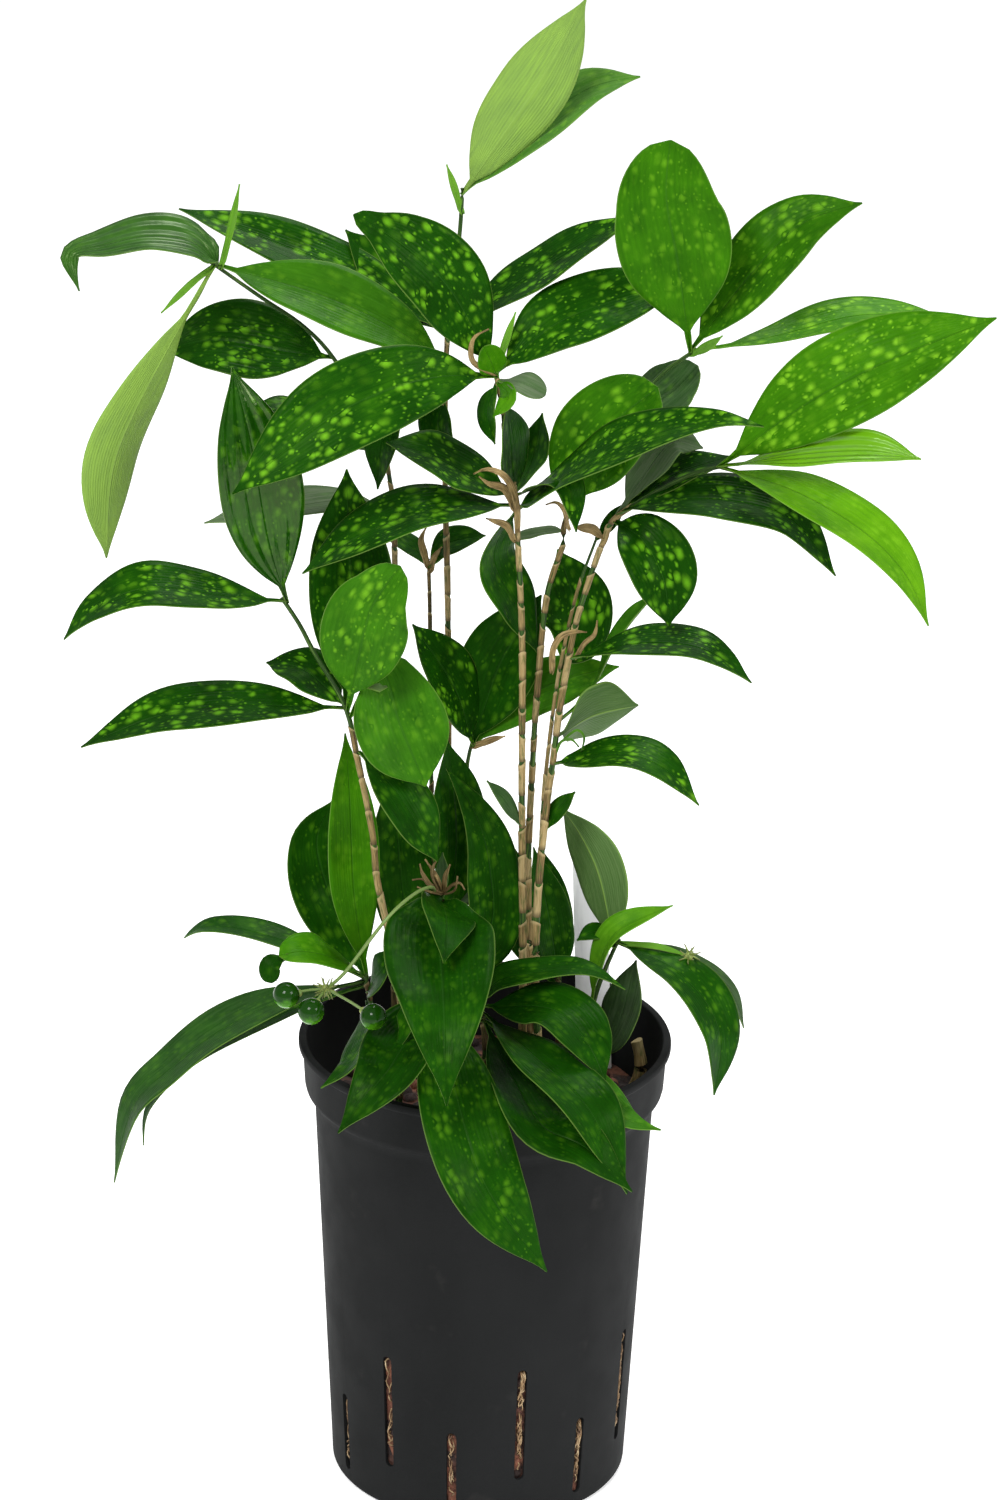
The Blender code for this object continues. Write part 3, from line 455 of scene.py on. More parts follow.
                [(-48, 212, -15), (-80, 204, -28), (-106, 190, -34), (-127, 172, -39), (-142, 155, -42), (-150, 121, -44)],
                28, "dusky", 58,
            ),
            Leaf(
                [(-48, 210, -14), (-74, 201, -8), (-115, 178, -16), (-135, 156, -20), (-138, 138, -22)],
                14, "dark", 64,
            ),
            Leaf(
                [(-48, 213, -15), (-75, 227, -2), (-97, 234, 4), (-112, 235, 6), (-121, 230, 8)],
                19, "dark", 62, belly=0.62, blunt=0.9,
            ),
            Leaf(
                [(-48, 214, -15), (-60, 222, -34), (-73, 225, -44), (-83, 223, -48)],
                22, "bright", 52, belly=0.62, blunt=1.0,
            ),
            Leaf([(-79, 223, -47), (-86, 219, -50), (-86, 211, -52)], 9, "dark", 20, belly=0.6, blunt=1.0),
            Leaf([(-47, 208, -14), (-43, 216, -30), (-36, 227, -36)], 16, "dark", 40),
            Leaf([(-47, 204, -14), (-47, 194, -36), (-53, 177, -60), (-66, 165, -70)], 18, "dark", 56),
        ],
    ),
    "shoot_centre": Stem(
        (-14, -9),
        [(-15, 205, -10), (-16, 232, -12), (-18, 248, -16), (-18, 251, -17)],
        2.0,
        [
            Leaf(
                [(-18, 248, -16), (-19, 232, -48), (-17, 205, -84), (-16, 181, -100), (-15, 158, -108)],
                44, "deep", 0, belly=0.38,
            ),
            Leaf([(-18, 248, -16), (-16, 238, -54), (-17, 221, -78)], 24, "deep", 10, belly=0.4),
            Leaf(
                [(-15, 212, -10), (1, 235, -4), (1, 262, -2), (-5, 285, -4), (-17, 305, -6)],
                26, "dark", 30, belly=0.4,
            ),
            Leaf([(-16, 238, -12), (-13, 262, -2), (-13, 287, 1), (-17, 317, 2)], 26, "dark", 30),
            Leaf([(-15, 214, -10), (-30, 235, 0), (-35, 265, 3), (-38, 306, 4)], 26, "dark", 15),
            Leaf([(-18, 252, -17), (-23, 255, -24), (-26, 260, -26), (-27, 264, -26)], 2.2, "bract_brown", 20),
            Leaf([(-18, 252, -17), (-21, 257, -22), (-22, 262, -24), (-20, 266, -24)], 2.4, "bract_brown", 30),
            Leaf([(-17, 252, -17), (-14, 255, -22), (-11, 256, -24), (-9, 253, -26)], 1.4, "bract_brown", 20),
            Leaf([(-18, 252, -17), (-20, 258, -22), (-25, 266, -22)], 1.8, "bract", 40),
            Leaf([(-17, 252, -17), (-17, 258, -20), (-15, 264, -20)], 2.0, "bract", 20),
            Leaf([(-18, 249, -13), (-18, 258, -11), (-18, 269, -9)], 5.5, "dark_matt", 20),
            Leaf([(-15, 247, -9), (-9, 249, -3), (-3, 252, 2)], 6, "dark_matt", 20),
            Leaf([(-18, 251, -17), (-23, 252, -26), (-28, 254, -28)], 1.2, "bract_brown", 20),
            Leaf([(-17, 251, -17), (-13, 253, -26), (-12, 259, -27)], 0.9, "bract_brown", 20),
            Leaf([(-18, 251, -17), (-25, 257, -22), (-30, 257, -24)], 1.0, "bract_brown", 20),
        ],
    ),
    "shoot_front": Stem(
        (0, -30),
        [(0, 186, -31), (-2, 202, -32), (-2, 204, -32)],
        2.0,
        [
            Leaf(
                [(-1, 198, -32), (-14, 189, -52), (-10, 158, -84), (2, 121, -104), (27, 84, -100)],
                34, "mottled", 15,
            ),
            Leaf([(-1, 199, -32), (20, 181, -64), (43, 157, -92), (59, 120, -100)], 30, "deep", 40),
            Leaf(
                [(-1, 196, -32), (12, 170, -62), (24, 150, -92), (42, 140, -102), (61, 121, -104)],
                30, "deep", 35,
            ),
            Leaf([(-1, 196, -32), (31, 175, -50), (55, 155, -82), (72, 149, -86)], 24, "fresh", 45),
            Leaf([(-2, 202, -32), (26, 202, -46), (40, 189, -60), (49, 170, -72)], 30, "deep", 42),
            Leaf(
                [(-2, 203, -32), (6, 214, -32), (28, 219, -32), (42, 219, -34), (56, 211, -38)],
                20, "dark", 60, belly=0.32,
            ),
            Leaf(
                [(-1, 196, -32), (-27, 190, -56), (-40, 172, -86), (-59, 145, -98)],
                32, "deep", 25, belly=0.46,
            ),
            Leaf([(-1, 200, -32), (-29, 200, -50), (-32, 191, -62), (-37, 179, -70)], 8, "dark", 30),
        ],
    ),
    "shoot_right": Stem(
        (40, -4),
        [(41, 186, -5), (44, 208, -5), (50, 226, -5), (53, 233, -5)],
        1.9,
        [
            Leaf(
                [(43, 203, -5), (45, 219, -12), (52, 236, -15), (74, 248, -11)],
                14, "yellow", 45, 25, belly=0.56,
            ),
            Leaf([(51, 229, -5), (44, 236, -8), (36, 232, -10)], 9, "dark", 40),
            Leaf([(52, 231, -5), (78, 218, -22), (94, 194, -32), (93, 165, -34)], 26, "dark", 48),
            Leaf([(52, 231, -5), (82, 221, 0), (98, 210, 4), (104, 195, 4)], 18, "dark_matt", 58),
            Leaf([(51, 229, -5), (45, 258, 1), (38, 275, 4), (29, 289, 6)], 24, "under_grey", 145),
            Leaf([(41, 184, -5), (49, 187, -8), (55, 200, -8), (60, 224, -4)], 21, "dark_matt", 40),
            Leaf([(52, 231, -5), (68, 230, -10), (81, 226, -12)], 3, "bract_green", 30),
        ],
    ),
    "shoot_back": Stem(
        (30, 18),
        [(29, 208, 18), (29, 216, 19), (29, 219, 19)],
        1.8,
        [
            Leaf([(29, 215, 19), (25, 241, 15), (18, 272, 12)], 19, "dark", 20, belly=0.42),
            Leaf([(29, 212, 19), (27, 243, 26), (21, 272, 30)], 15, "deep", 25),
            Leaf([(29, 209, 19), (12, 244, 24), (8, 276, 26)], 24, "dark", 35),
        ],
    ),
}

# How far up each cane its dry sheaths reach, and how dark they are (0 tan, 1 brown)
SHEATHS = {
    "stem_top": (0.86, 0.35),
    "stem_left": (0.72, 0.9),
    "stem_bent": (0.74, 0.1),
    "stem_middle": (0.98, 0.15),
    "stem_right": (0.84, 0.25),
    "stem_far_right": (0.88, 0.2),
    "stem_short": (0.9, 0.3),
    "stem_back": (0.97, 0.8),
    "stem_inner": (0.8, 0.8),
    "shoot_left": (0.9, 0.7),
    "shoot_centre": (0.95, 0.7),
    "shoot_front": (0.9, 0.7),
    "shoot_right": (0.3, 0.4),
    "shoot_back": (0.9, 0.8),
}

# Berry spray: its stalk, its hub and its berries, and the second spent flower
SPRAY_PATH = [(-21, 250, -17), (-22, 254, -28), (-29, 251, -46), (-40, 240, -60), (-56, 217, -57), (-64, 209, -52)]
SPRAY_RADIUS = 0.7
PEDICEL_RADIUS = 0.55
HUB_RADIUS = 1.9
FILAMENT_COUNT = 22
FILAMENT_LENGTH = 5.4
FILAMENT_RADIUS = 0.42
BERRIES = [(-80, 206, -56), (-70, 199, -62), (-45, 197, -64)]
BERRY_RADIUS = 5.2
SPENT_FLOWER = (81, 226, -12)

# Plain label and the cut stub of an old cane
LABEL_SIZE = (14.0, 0.8, 118.0)
LABEL_FOOT = (46.0, 36.0)
LABEL_LEAN = -2.5
LABEL_CORNER = 1.5
STUB_PATH = [(59, 162, -6), (63, 176, -6), (61, 189, -6)]
STUB_RADIUS = 2.6

FLOOR_GLOW = 0.45
SEED = 7


def sight(across, height, depth):
    """The place of a point read in the upright plane through the axis, moved along the line of sight to its depth."""
    read = Vector((across, 0.0, height))
    way = read - VIEWPOINT
    return VIEWPOINT + way * ((depth - VIEWPOINT.y) / way.y)


def curve_point(points, share):
    """A point of the smooth curve through the points, at a share of their count."""
    place = min(share, 0.9999) * (len(points) - 1)
    index = int(place)
    step = place - index
    before = points[max(index - 1, 0)]
    start = points[index]
    end = points[index + 1]
    after = points[min(index + 2, len(points) - 1)]
    rise = (end - before) * 0.5
    fall = (after - start) * 0.5
    cubic = start * (2 * step**3 - 3 * step**2 + 1) + end * (3 * step**2 - 2 * step**3)
    return cubic + rise * (step**3 - 2 * step**2 + step) + fall * (step**3 - step**2)


def even_shares(points, count):
    """Shares that divide the curve into stretches of one length, and the curve's length."""
    fine = [index / MIDRIB_STEPS for index in range(MIDRIB_STEPS + 1)]
    places = [curve_point(points, share) for share in fine]
    lengths = [0.0]
    for start, end in zip(places, places[1:]):
        lengths.append(lengths[-1] + (end - start).length)
    shares = []
    after = 1
    for index in range(count + 1):
        wanted = lengths[-1] * index / count
        while after < MIDRIB_STEPS and lengths[after] < wanted:
            after += 1
        part = (wanted - lengths[after - 1]) / (lengths[after] - lengths[after - 1])
        shares.append(fine[after - 1] + (fine[after] - fine[after - 1]) * part)
    return shares, lengths[-1]


def smooth(low, high, value):
    """Rises smoothly from 0 at low to 1 at high."""
    share = min(max((value - low) / (high - low), 0.0), 1.0)
    return share * share * (3 - 2 * share)


def outline_width(share, leaf):
    """The blade's half width at a share of its length, on a smooth curve through the outline's values."""
    place = share ** (math.log(OUTLINE_BELLY) / math.log(leaf.belly))
    index = 0
    while index < len(OUTLINE) - 2 and place > OUTLINE[index + 1][0]:
        index += 1
    (start, low), (end, high) = OUTLINE[index], OUTLINE[index + 1]
    before_place, before = OUTLINE[max(index - 1, 0)]
    after_place, after = OUTLINE[min(index + 2, len(OUTLINE) - 1)]
    step = (place - start) / (end - start)
    rise = (high - before) / (end - before_place) * (end - start)
    fall = (after - low) / (after_place - start) * (end - start)
    part = low * (2 * step**3 - 3 * step**2 + 1) + high * (3 * step**2 - 2 * step**3)
    part += rise * (step**3 - 2 * step**2 + step) + fall * (step**3 - step**2)
    if share > leaf.belly:
        beyond = (share - leaf.belly) / (1.0 - leaf.belly)
        part = max(part, leaf.blunt * math.sqrt(max(1.0 - beyond**2, 0.0)))
    least = PETIOLE_WIDTH if share < 0.5 else TIP_WIDTH
    return 0.5 * max(part * leaf.width, min(least, leaf.width))


def blade_face(points, turn):
    """The way that the blade's upper face looks, before it is squared to the midrib."""
    chord = points[-1] - points[0]
    toward = (VIEWPOINT - points[len(points) // 2]).normalized()
    upward = chord.cross(toward).normalized()
    if upward.z < 0:
        upward.negate()
    return toward * math.cos(math.radians(turn)) + upward * math.sin(math.radians(turn))


def surface_layers(bm):
    """The values that the looks read: the place on a piece, its grain and its look."""
    vectors = bm.verts.layers.float_vector
    colours = bm.verts.layers.float_color
    place = vectors.get("place") or vectors.new("place")
    grain = vectors.get("grain") or vectors.new("grain")
    look = colours.get("look") or colours.new("look")
    return vectors["place"], vectors["grain"], look


def add_blade(bm, leaf, seed):
    """Lays a fine grid along the midrib, cut to the outline, with a folded petiole and gently waved margins."""
    place_layer, grain_layer, look_layer = surface_layers(bm)
    draw = random.Random(seed)
    phase = draw.uniform(0, math.tau)
    waves = draw.uniform(1.6, 2.8)
    shift = Vector((draw.uniform(0, 90), draw.uniform(0, 90), 0))
    look = LOOKS[leaf.look]
    points = [sight(*point) for point in leaf.midrib]
    rows = BLADE_ROWS if leaf.width > 9 else BLADE_ROWS // 2
    columns = BLADE_COLUMNS if leaf.width > 9 else 4
    shares, length = even_shares(points, rows)
    face = blade_face(points, leaf.turn)
    lines = []
    for row, share in enumerate(shares):
        part = row / rows
        ahead = curve_point(points, min(share + TANGENT_STEP, 1.0))
        behind = curve_point(points, max(share - TANGENT_STEP, 0.0))
        along = (ahead - behind).normalized()
        normal = (face - along * face.dot(along)).normalized()
        fold = leaf.fold + (PETIOLE_FOLD - leaf.fold) * smooth(PETIOLE_SHARE, 0.0, part)
        half = outline_width(part, leaf)
        lines.append((curve_point(points, share), along.cross(normal), normal, half, math.radians(fold)))
    made = bmesh.ops.create_grid(bm, x_segments=columns, y_segments=rows, size=1.0)["verts"]
    tone = min(max(look.tone + draw.uniform(-0.05, 0.05), 0.0), 1.0)
    for vert in made:
        side = vert.co.x
        row = round((vert.co.y + 1) * 0.5 * rows)
        part = row / rows
        middle, across, normal, half, fold = lines[row]
        turn = phase + (1.3 if side > 0 else 0.0)
        wave = WAVE * leaf.width * side * side * math.sin(part * math.tau * waves + turn) * math.sin(math.pi * part)
        rise = abs(side) ** 1.35 * half * math.sin(fold) + wave
        vert.co = (middle + across * (side * half * math.cos(fold)) + normal * rise) * MM
        vert[place_layer] = Vector((side, part, leaf.width * 0.1))
        vert[grain_layer] = Vector((side * half * 0.1, part * length * 0.1, 0)) + shift
        vert[look_layer] = (tone, look.spots, look.grey, look.rough)
    faces = {face for vert in made for face in vert.link_faces}
    for face in faces:
        face.smooth = True
        face.material_index = SKINS[look.skin]


class Trace:
    """A smooth line through points, read by its length."""

    def __init__(self, points, spacing=1.0):
        count = max(int(sum((b - a).length for a, b in zip(points, points[1:])) / spacing), 8)
        self.places = [curve_point(points, index / count) for index in range(count + 1)]
        self.lengths = [0.0]
        for start, end in zip(self.places, self.places[1:]):
            self.lengths.append(self.lengths[-1] + (end - start).length)
        self.length = self.lengths[-1]

    def at(self, wanted):
        """The place and the direction at a length along the line."""
        wanted = min(max(wanted, 0.0), self.length)
        low, high = 0, len(self.lengths) - 1
        while high - low > 1:
            middle = (low + high) // 2
            if self.lengths[middle] <= wanted:
                low = middle
            else:
                high = middle
        span = self.lengths[high] - self.lengths[low]
        part = (wanted - self.lengths[low]) / span if span > 0 else 0.0
        start, end = self.places[low], self.places[high]
        before = self.places[max(low - 1, 0)]
        after = self.places[min(high + 1, len(self.places) - 1)]
        return start.lerp(end, part), (after - before).normalized()


def unit_tube(rings, sides):
    """A closed bar of radius 1 from z = 0 to z = 1, cut into rings, which is kept for the next call."""
    name = f"unit_tube_{rings}_{sides}"
    if name in bpy.data.meshes:
        return bpy.data.meshes[name]
    bm = bmesh.new()
    ring = bmesh.ops.create_circle(bm, cap_ends=True, cap_tris=False, segments=sides, radius=1.0)["verts"]
    edges = list({edge for vert in ring for edge in vert.link_edges})
    for _ in range(rings):
        pushed = bmesh.ops.extrude_edge_only(bm, edges=edges)["geom"]
        edges = [item for item in pushed if isinstance(item, bmesh.types.BMEdge)]
        moved = [item for item in pushed if isinstance(item, bmesh.types.BMVert)]
        bmesh.ops.translate(bm, verts=moved, vec=(0.0, 0.0, 1.0 / rings))
    bmesh.ops.holes_fill(bm, edges=edges, sides=0)
    bmesh.ops.recalc_face_normals(bm, faces=bm.faces)
    mesh = bpy.data.meshes.new(name)
    bm.to_mesh(mesh)
    bm.free()
    return mesh


def add_tube(bm, trace, start, end, radius, rings, sides, look, slant=0.0, turn=0.0, index=0):
    """A closed round bar along a trace. radius gives it for a share of the length, and slant tilts its end."""
    before = len(bm.verts)
    before_faces = len(bm.faces)
    bm.from_mesh(unit_tube(rings, sides))
    bm.verts.ensure_lookup_table()
    bm.faces.ensure_lookup_table()
    place_layer, grain_layer, look_layer = surface_layers(bm)
    for vert in bm.verts[before:]:
        share = vert.co.z
        angle = math.atan2(vert.co.y, vert.co.x)
        lean = slant * math.cos(angle - turn) * share**4
        length = start + (end - start) * share + lean
        middle, along = trace.at(length)
        reach = along.to_track_quat("Z", "Y") @ Vector((math.cos(angle), math.sin(angle), 0.0))
        vert.co = (middle + reach * radius(share)) * MM
        vert[place_layer] = Vector((share, turn / math.tau, look[0]))
        vert[grain_layer] = Vector((math.cos(angle), math.sin(angle), length * 0.1))
        vert[look_layer] = look
    for face in bm.faces[before_faces:]:
        face.smooth = len(face.verts) == 4
        face.material_index = index


def add_ball(bm, centre, radius, look, subdivisions=3, squash=(1, 1, 1), index=0):
    place_layer, grain_layer, look_layer = surface_layers(bm)
    made = bmesh.ops.create_icosphere(bm, subdivisions=subdivisions, radius=1.0)["verts"]
    for vert in made:
        vert[place_layer] = vert.co.copy()
        vert[grain_layer] = vert.co * radius * 0.1 + centre * 0.1
        vert[look_layer] = look
        vert.co = (centre + Vector(a * b for a, b in zip(vert.co, squash)) * radius) * MM
    for face in {face for vert in made for face in vert.link_faces}:
        face.smooth = True
        face.material_index = index
    return made


def new_piece(name, bm, materials, replaced=(), crease=None):
    """Makes the piece's object, which rides on the one body."""
    mesh = bpy.data.meshes.new(name)
    bm.to_mesh(mesh)
    bm.free()
    for look in materials:
        mesh.materials.append(look)
    if crease is not None:
        mesh.set_sharp_from_angle(angle=math.radians(crease))
    piece = bpy.data.objects.new(name, mesh)
    bpy.context.scene.collection.objects.link(piece)
    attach(piece, "root")
    if replaced:
        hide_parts(*replaced)
    return piece


class Nodes:
    """A short way to lay out a material's nodes."""

    def __init__(self, name):
        self.material = bpy.data.materials.get(name) or bpy.data.materials.new(name)
        self.material.use_nodes = True
        self.tree = self.material.node_tree
        self.tree.nodes.clear()
        self.output = self.tree.nodes.new("ShaderNodeOutputMaterial")
        self.shader = self.tree.nodes.new("ShaderNodeBsdfPrincipled")
        self.tree.links.new(self.shader.outputs[0], self.output.inputs[0])

    def set(self, socket, value):
        """Puts a value or another node's output on a socket."""
        if isinstance(value, bpy.types.NodeSocket):
            self.tree.links.new(value, socket)
        else:
            socket.default_value = value

    def shade(self, **values):
        for name, value in values.items():
            self.set(self.shader.inputs[name.replace("_", " ")], value)

    def add(self, kind, output=0, settings=None, **values):
        made = self.tree.nodes.new(kind)
        for name, value in (settings or {}).items():
            setattr(made, name, value)
        for name, value in values.items():
            self.set(made.inputs[name.replace("_", " ")], value)
        return made.outputs[output]

    def attribute(self, name, output="Vector"):
        return self.add("ShaderNodeAttribute", output, {"attribute_name": name})

    def math(self, operation, first, second=0.0, third=0.0):
        made = self.tree.nodes.new("ShaderNodeMath")
        made.operation = operation
        for socket, value in zip(made.inputs, (first, second, third)):
            self.set(socket, value)
        return made.outputs[0]

    def vector(self, operation, first, second=(0.0, 0.0, 0.0)):
        made = self.tree.nodes.new("ShaderNodeVectorMath")
        made.operation = operation
        self.set(made.inputs[0], first)
        self.set(made.inputs[1], second)
        return made.outputs[0]

    def split(self, vector):
        made = self.tree.nodes.new("ShaderNodeSeparateXYZ")
        self.set(made.inputs[0], vector)
        return made.outputs

    def parts(self, colour):
        made = self.tree.nodes.new("ShaderNodeSeparateColor")
        self.set(made.inputs[0], colour)
        return made.outputs

    def noise(self, vector, scale, detail=2.0, output=0):
        return self.add("ShaderNodeTexNoise", output, Vector=vector, Scale=scale, Detail=detail)

    def spread(self, value, low, high, to_low=0.0, to_high=1.0):
        """Maps a value smoothly from one span to another."""
        made = self.tree.nodes.new("ShaderNodeMapRange")
        made.interpolation_type = "SMOOTHSTEP"
        for name, given in zip(("Value", "From Min", "From Max", "To Min", "To Max"), (value, low, high, to_low, to_high)):
            self.set(made.inputs[name], given)
        return made.outputs[0]

    def mix(self, share, first, second):
        made = self.tree.nodes.new("ShaderNodeMix")
        made.data_type = "RGBA"
        self.set(made.inputs["Factor"], share)
        for socket, value in zip((made.inputs[6], made.inputs[7]), (first, second)):
            self.set(socket, value if isinstance(value, bpy.types.NodeSocket) else (*value, 1.0))
        return made.outputs[2]

    def ramp(self, value, stops):
        made = self.tree.nodes.new("ShaderNodeValToRGB")
        elements = made.color_ramp.elements
        while len(elements) < len(stops):
            elements.new(1.0)
        for element, (place, colour) in zip(elements, stops):
            element.position = place
            element.color = (*colour, 1.0)
        self.set(made.inputs[0], value)
        return made.outputs[0]

    def bump(self, height, strength, distance, normal=None):
        made = self.tree.nodes.new("ShaderNodeBump")
        made.inputs["Strength"].default_value = strength
        made.inputs["Distance"].default_value = distance
        self.set(made.inputs["Height"], height)
        if normal is not None:
            self.set(made.inputs["Normal"], normal)
        return made.outputs[0]


def spot_layer(nodes, grain, scale, sizes):
    """Soft round flecks, one to a cell of the pattern and each of its own size."""
    cells = nodes.tree.nodes.new("ShaderNodeTexVoronoi")
    cells.voronoi_dimensions = "2D"
    nodes.set(cells.inputs["Vector"], grain)
    cells.inputs["Scale"].default_value = scale
    chance = nodes.parts(cells.outputs["Color"])[0]
    size = nodes.spread(chance, 0.25, 1.0, *sizes)
    near = nodes.spread(cells.outputs["Distance"], 0.0, size, 1.0, 0.0)
    near.node.interpolation_type = "SMOOTHSTEP"
    return near


def leaf_upper(name, gloss, pleated=False):
    """Green with gold flecks, long veins, a groove over the midrib and a pale margin."""
    colours = bpy.context.scene.plant_colours
    nodes = Nodes(name)
    place = nodes.split(nodes.attribute("place"))
    grain = nodes.attribute("grain")
    look_node = nodes.tree.nodes.new("ShaderNodeAttribute")
    look_node.attribute_name = "look"
    tone, spots, grey = nodes.parts(look_node.outputs["Color"])
    rough = look_node.outputs["Alpha"]
    side = nodes.math("ABSOLUTE", place[0])
    cloud = nodes.noise(grain, 0.7, 3.0)
    streak_place = nodes.vector("MULTIPLY", grain, (9.0, 0.6, 1.0))
    streak = nodes.noise(streak_place, 1.0, 3.0)
    veins = nodes.math("SINE", nodes.math("MULTIPLY", place[0], 62.0))
    warp = nodes.vector("SCALE", nodes.noise(grain, 2.2, 2.0, "Color"))
    warp.node.inputs["Scale"].default_value = 0.22
    warped = nodes.vector("ADD", grain, warp)
    stretched = nodes.vector("MULTIPLY", warped, (1.0, 0.72, 1.0))
    large = spot_layer(nodes, stretched, 2.8, (0.15, 0.72))
    small = spot_layer(nodes, stretched, 4.6, (0.0, 0.55))
    crowd = nodes.spread(nodes.noise(grain, 0.8, 1.0), 0.36, 0.56, 0.12, 1.0)
    edge_free = nodes.spread(side, 0.97, 0.85)
    flecks = nodes.math("MULTIPLY", nodes.math("MAXIMUM", large, nodes.math("MULTIPLY", small, 0.4)), crowd)
    flecks = nodes.math("MULTIPLY", nodes.math("MULTIPLY", flecks, spots), edge_free)
    lively = nodes.math("MULTIPLY_ADD", nodes.math("SUBTRACT", cloud, 0.5), 0.42, tone)
    lively = nodes.math("MULTIPLY_ADD", nodes.math("SUBTRACT", streak, 0.5), 0.2, lively)
    lively = nodes.math("MULTIPLY_ADD", veins, 0.008, lively)
    green = nodes.ramp(
        lively,
        (
            (0.0, colours.leaf_deep),
            (0.3, colours.leaf_dark),
            (0.65, colours.leaf_fresh),
            (1.0, colours.leaf_lime),
        ),
    )
    fleck_green = nodes.mix(tone, colours.fleck, colours.fleck_fresh)
    coloured = nodes.mix(flecks, green, fleck_green)
    # Painted sheen: grey streaks, like those a glossy blade shows where it mirrors the bright room, mixed into the
    # colour by the look's grey share
    painted_sheen = nodes.math("MULTIPLY", grey, nodes.spread(streak, 0.3, 0.7, 0.5, 1.0))
    coloured = nodes.mix(painted_sheen, coloured, colours.leaf_painted_sheen)
    margin = nodes.math("MULTIPLY", nodes.spread(side, 0.97, 1.0), 0.35)
    coloured = nodes.mix(margin, coloured, colours.margin)
    groove = nodes.spread(side, 0.0, 0.05)
    midrib = nodes.math("MULTIPLY", nodes.spread(side, 0.035, 0.0), 0.35)
    coloured = nodes.mix(midrib, coloured, colours.midrib)
    height = nodes.math("MULTIPLY_ADD", veins, 0.05, groove)
    height = nodes.math("MULTIPLY_ADD", streak, 0.5, height)
    height = nodes.math("MULTIPLY_ADD", cloud, 2.4, height)
    if pleated:
        pleats = nodes.math("SINE", nodes.math("MULTIPLY", side, PLEATS))
        height = nodes.math("MULTIPLY_ADD", pleats, 1.2, height)
    fine = nodes.bump(nodes.noise(grain, 16.0, 2.0), 0.05, 0.0004)
    surface = nodes.bump(height, 0.5, 0.0007, fine)
    shine = nodes.math("MULTIPLY_ADD", nodes.math("SUBTRACT", cloud, 0.5), 0.22, rough)
    nodes.shade(Base_Color=coloured, Roughness=shine, Specular_IOR_Level=gloss, Normal=surface)
    nodes.shade(Specular_Tint=LEAF_GLINT)
    return nodes.material


def leaf_under():
    """The paler, more matt underside with raised veins."""
    colours = bpy.context.scene.plant_colours
    nodes = Nodes("leaf_under")
    place = nodes.split(nodes.attribute("place"))
    grain = nodes.attribute("grain")
    tone = nodes.parts(nodes.attribute("look", "Color"))[0]
    side = nodes.math("ABSOLUTE", place[0])
    streak = nodes.noise(nodes.vector("MULTIPLY", grain, (9.0, 0.5, 1.0)), 1.0, 3.0)
    cloud = nodes.noise(grain, 0.8, 3.0)
    veins = nodes.math("SINE", nodes.math("MULTIPLY", place[0], 75.0))
    lively = nodes.math("MULTIPLY_ADD", nodes.math("SUBTRACT", streak, 0.5), 0.5, tone)
    lively = nodes.math("MULTIPLY_ADD", nodes.math("SUBTRACT", cloud, 0.5), 0.3, lively)
    lively = nodes.math("MULTIPLY_ADD", veins, 0.03, lively)
    green = nodes.ramp(lively, ((0.0, colours.under_dark), (0.5, colours.under_grey), (1.0, colours.under_bright)))
    midrib = nodes.math("MULTIPLY", nodes.spread(side, 0.06, 0.0), 0.6)
    coloured = nodes.mix(midrib, green, colours.margin)
    margin = nodes.math("MULTIPLY", nodes.spread(side, 0.93, 0.99), 0.5)
    coloured = nodes.mix(margin, coloured, colours.margin)
    height = nodes.math("MULTIPLY_ADD", veins, 0.15, nodes.spread(side, 0.08, 0.0))
    height = nodes.math("MULTIPLY_ADD", streak, 0.6, height)
    surface = nodes.bump(height, 0.5, 0.0006)
    shine = nodes.spread(cloud, 0.3, 0.7, 0.36, 0.52)
    nodes.shade(Base_Color=coloured, Roughness=shine, Specular_IOR_Level=LEAF_GLOSS, Normal=surface)
    return nodes.material


def papery_skin():
    """Dry bracts: tan with long fibres."""
    colours = bpy.context.scene.plant_colours
    nodes = Nodes("papery_skin")
    grain = nodes.attribute("grain")
    age = nodes.parts(nodes.attribute("look", "Color"))[0]
    fibres = nodes.noise(nodes.vector("MULTIPLY", grain, (30.0, 1.5, 1.0)), 1.0, 4.0)
    cloud = nodes.noise(grain, 2.5, 3.0)
    dry = nodes.ramp(fibres, ((0.3, colours.sheath_brown), (0.5, colours.sheath_tan), (0.75, colours.sheath_pale)))
    coloured = nodes.mix(nodes.spread(cloud, 0.4, 0.75, 0.0, 0.5), dry, colours.sheath_brown)
    coloured = nodes.mix(age, coloured, colours.sheath_brown)
    surface = nodes.bump(fibres, 0.4, 0.0004)
    shine = nodes.spread(fibres, 0.2, 0.8, 0.5, 0.8)
    nodes.shade(Base_Color=coloured, Roughness=shine, Specular_IOR_Level=DRY_GLOSS, Normal=surface)
    return nodes.material


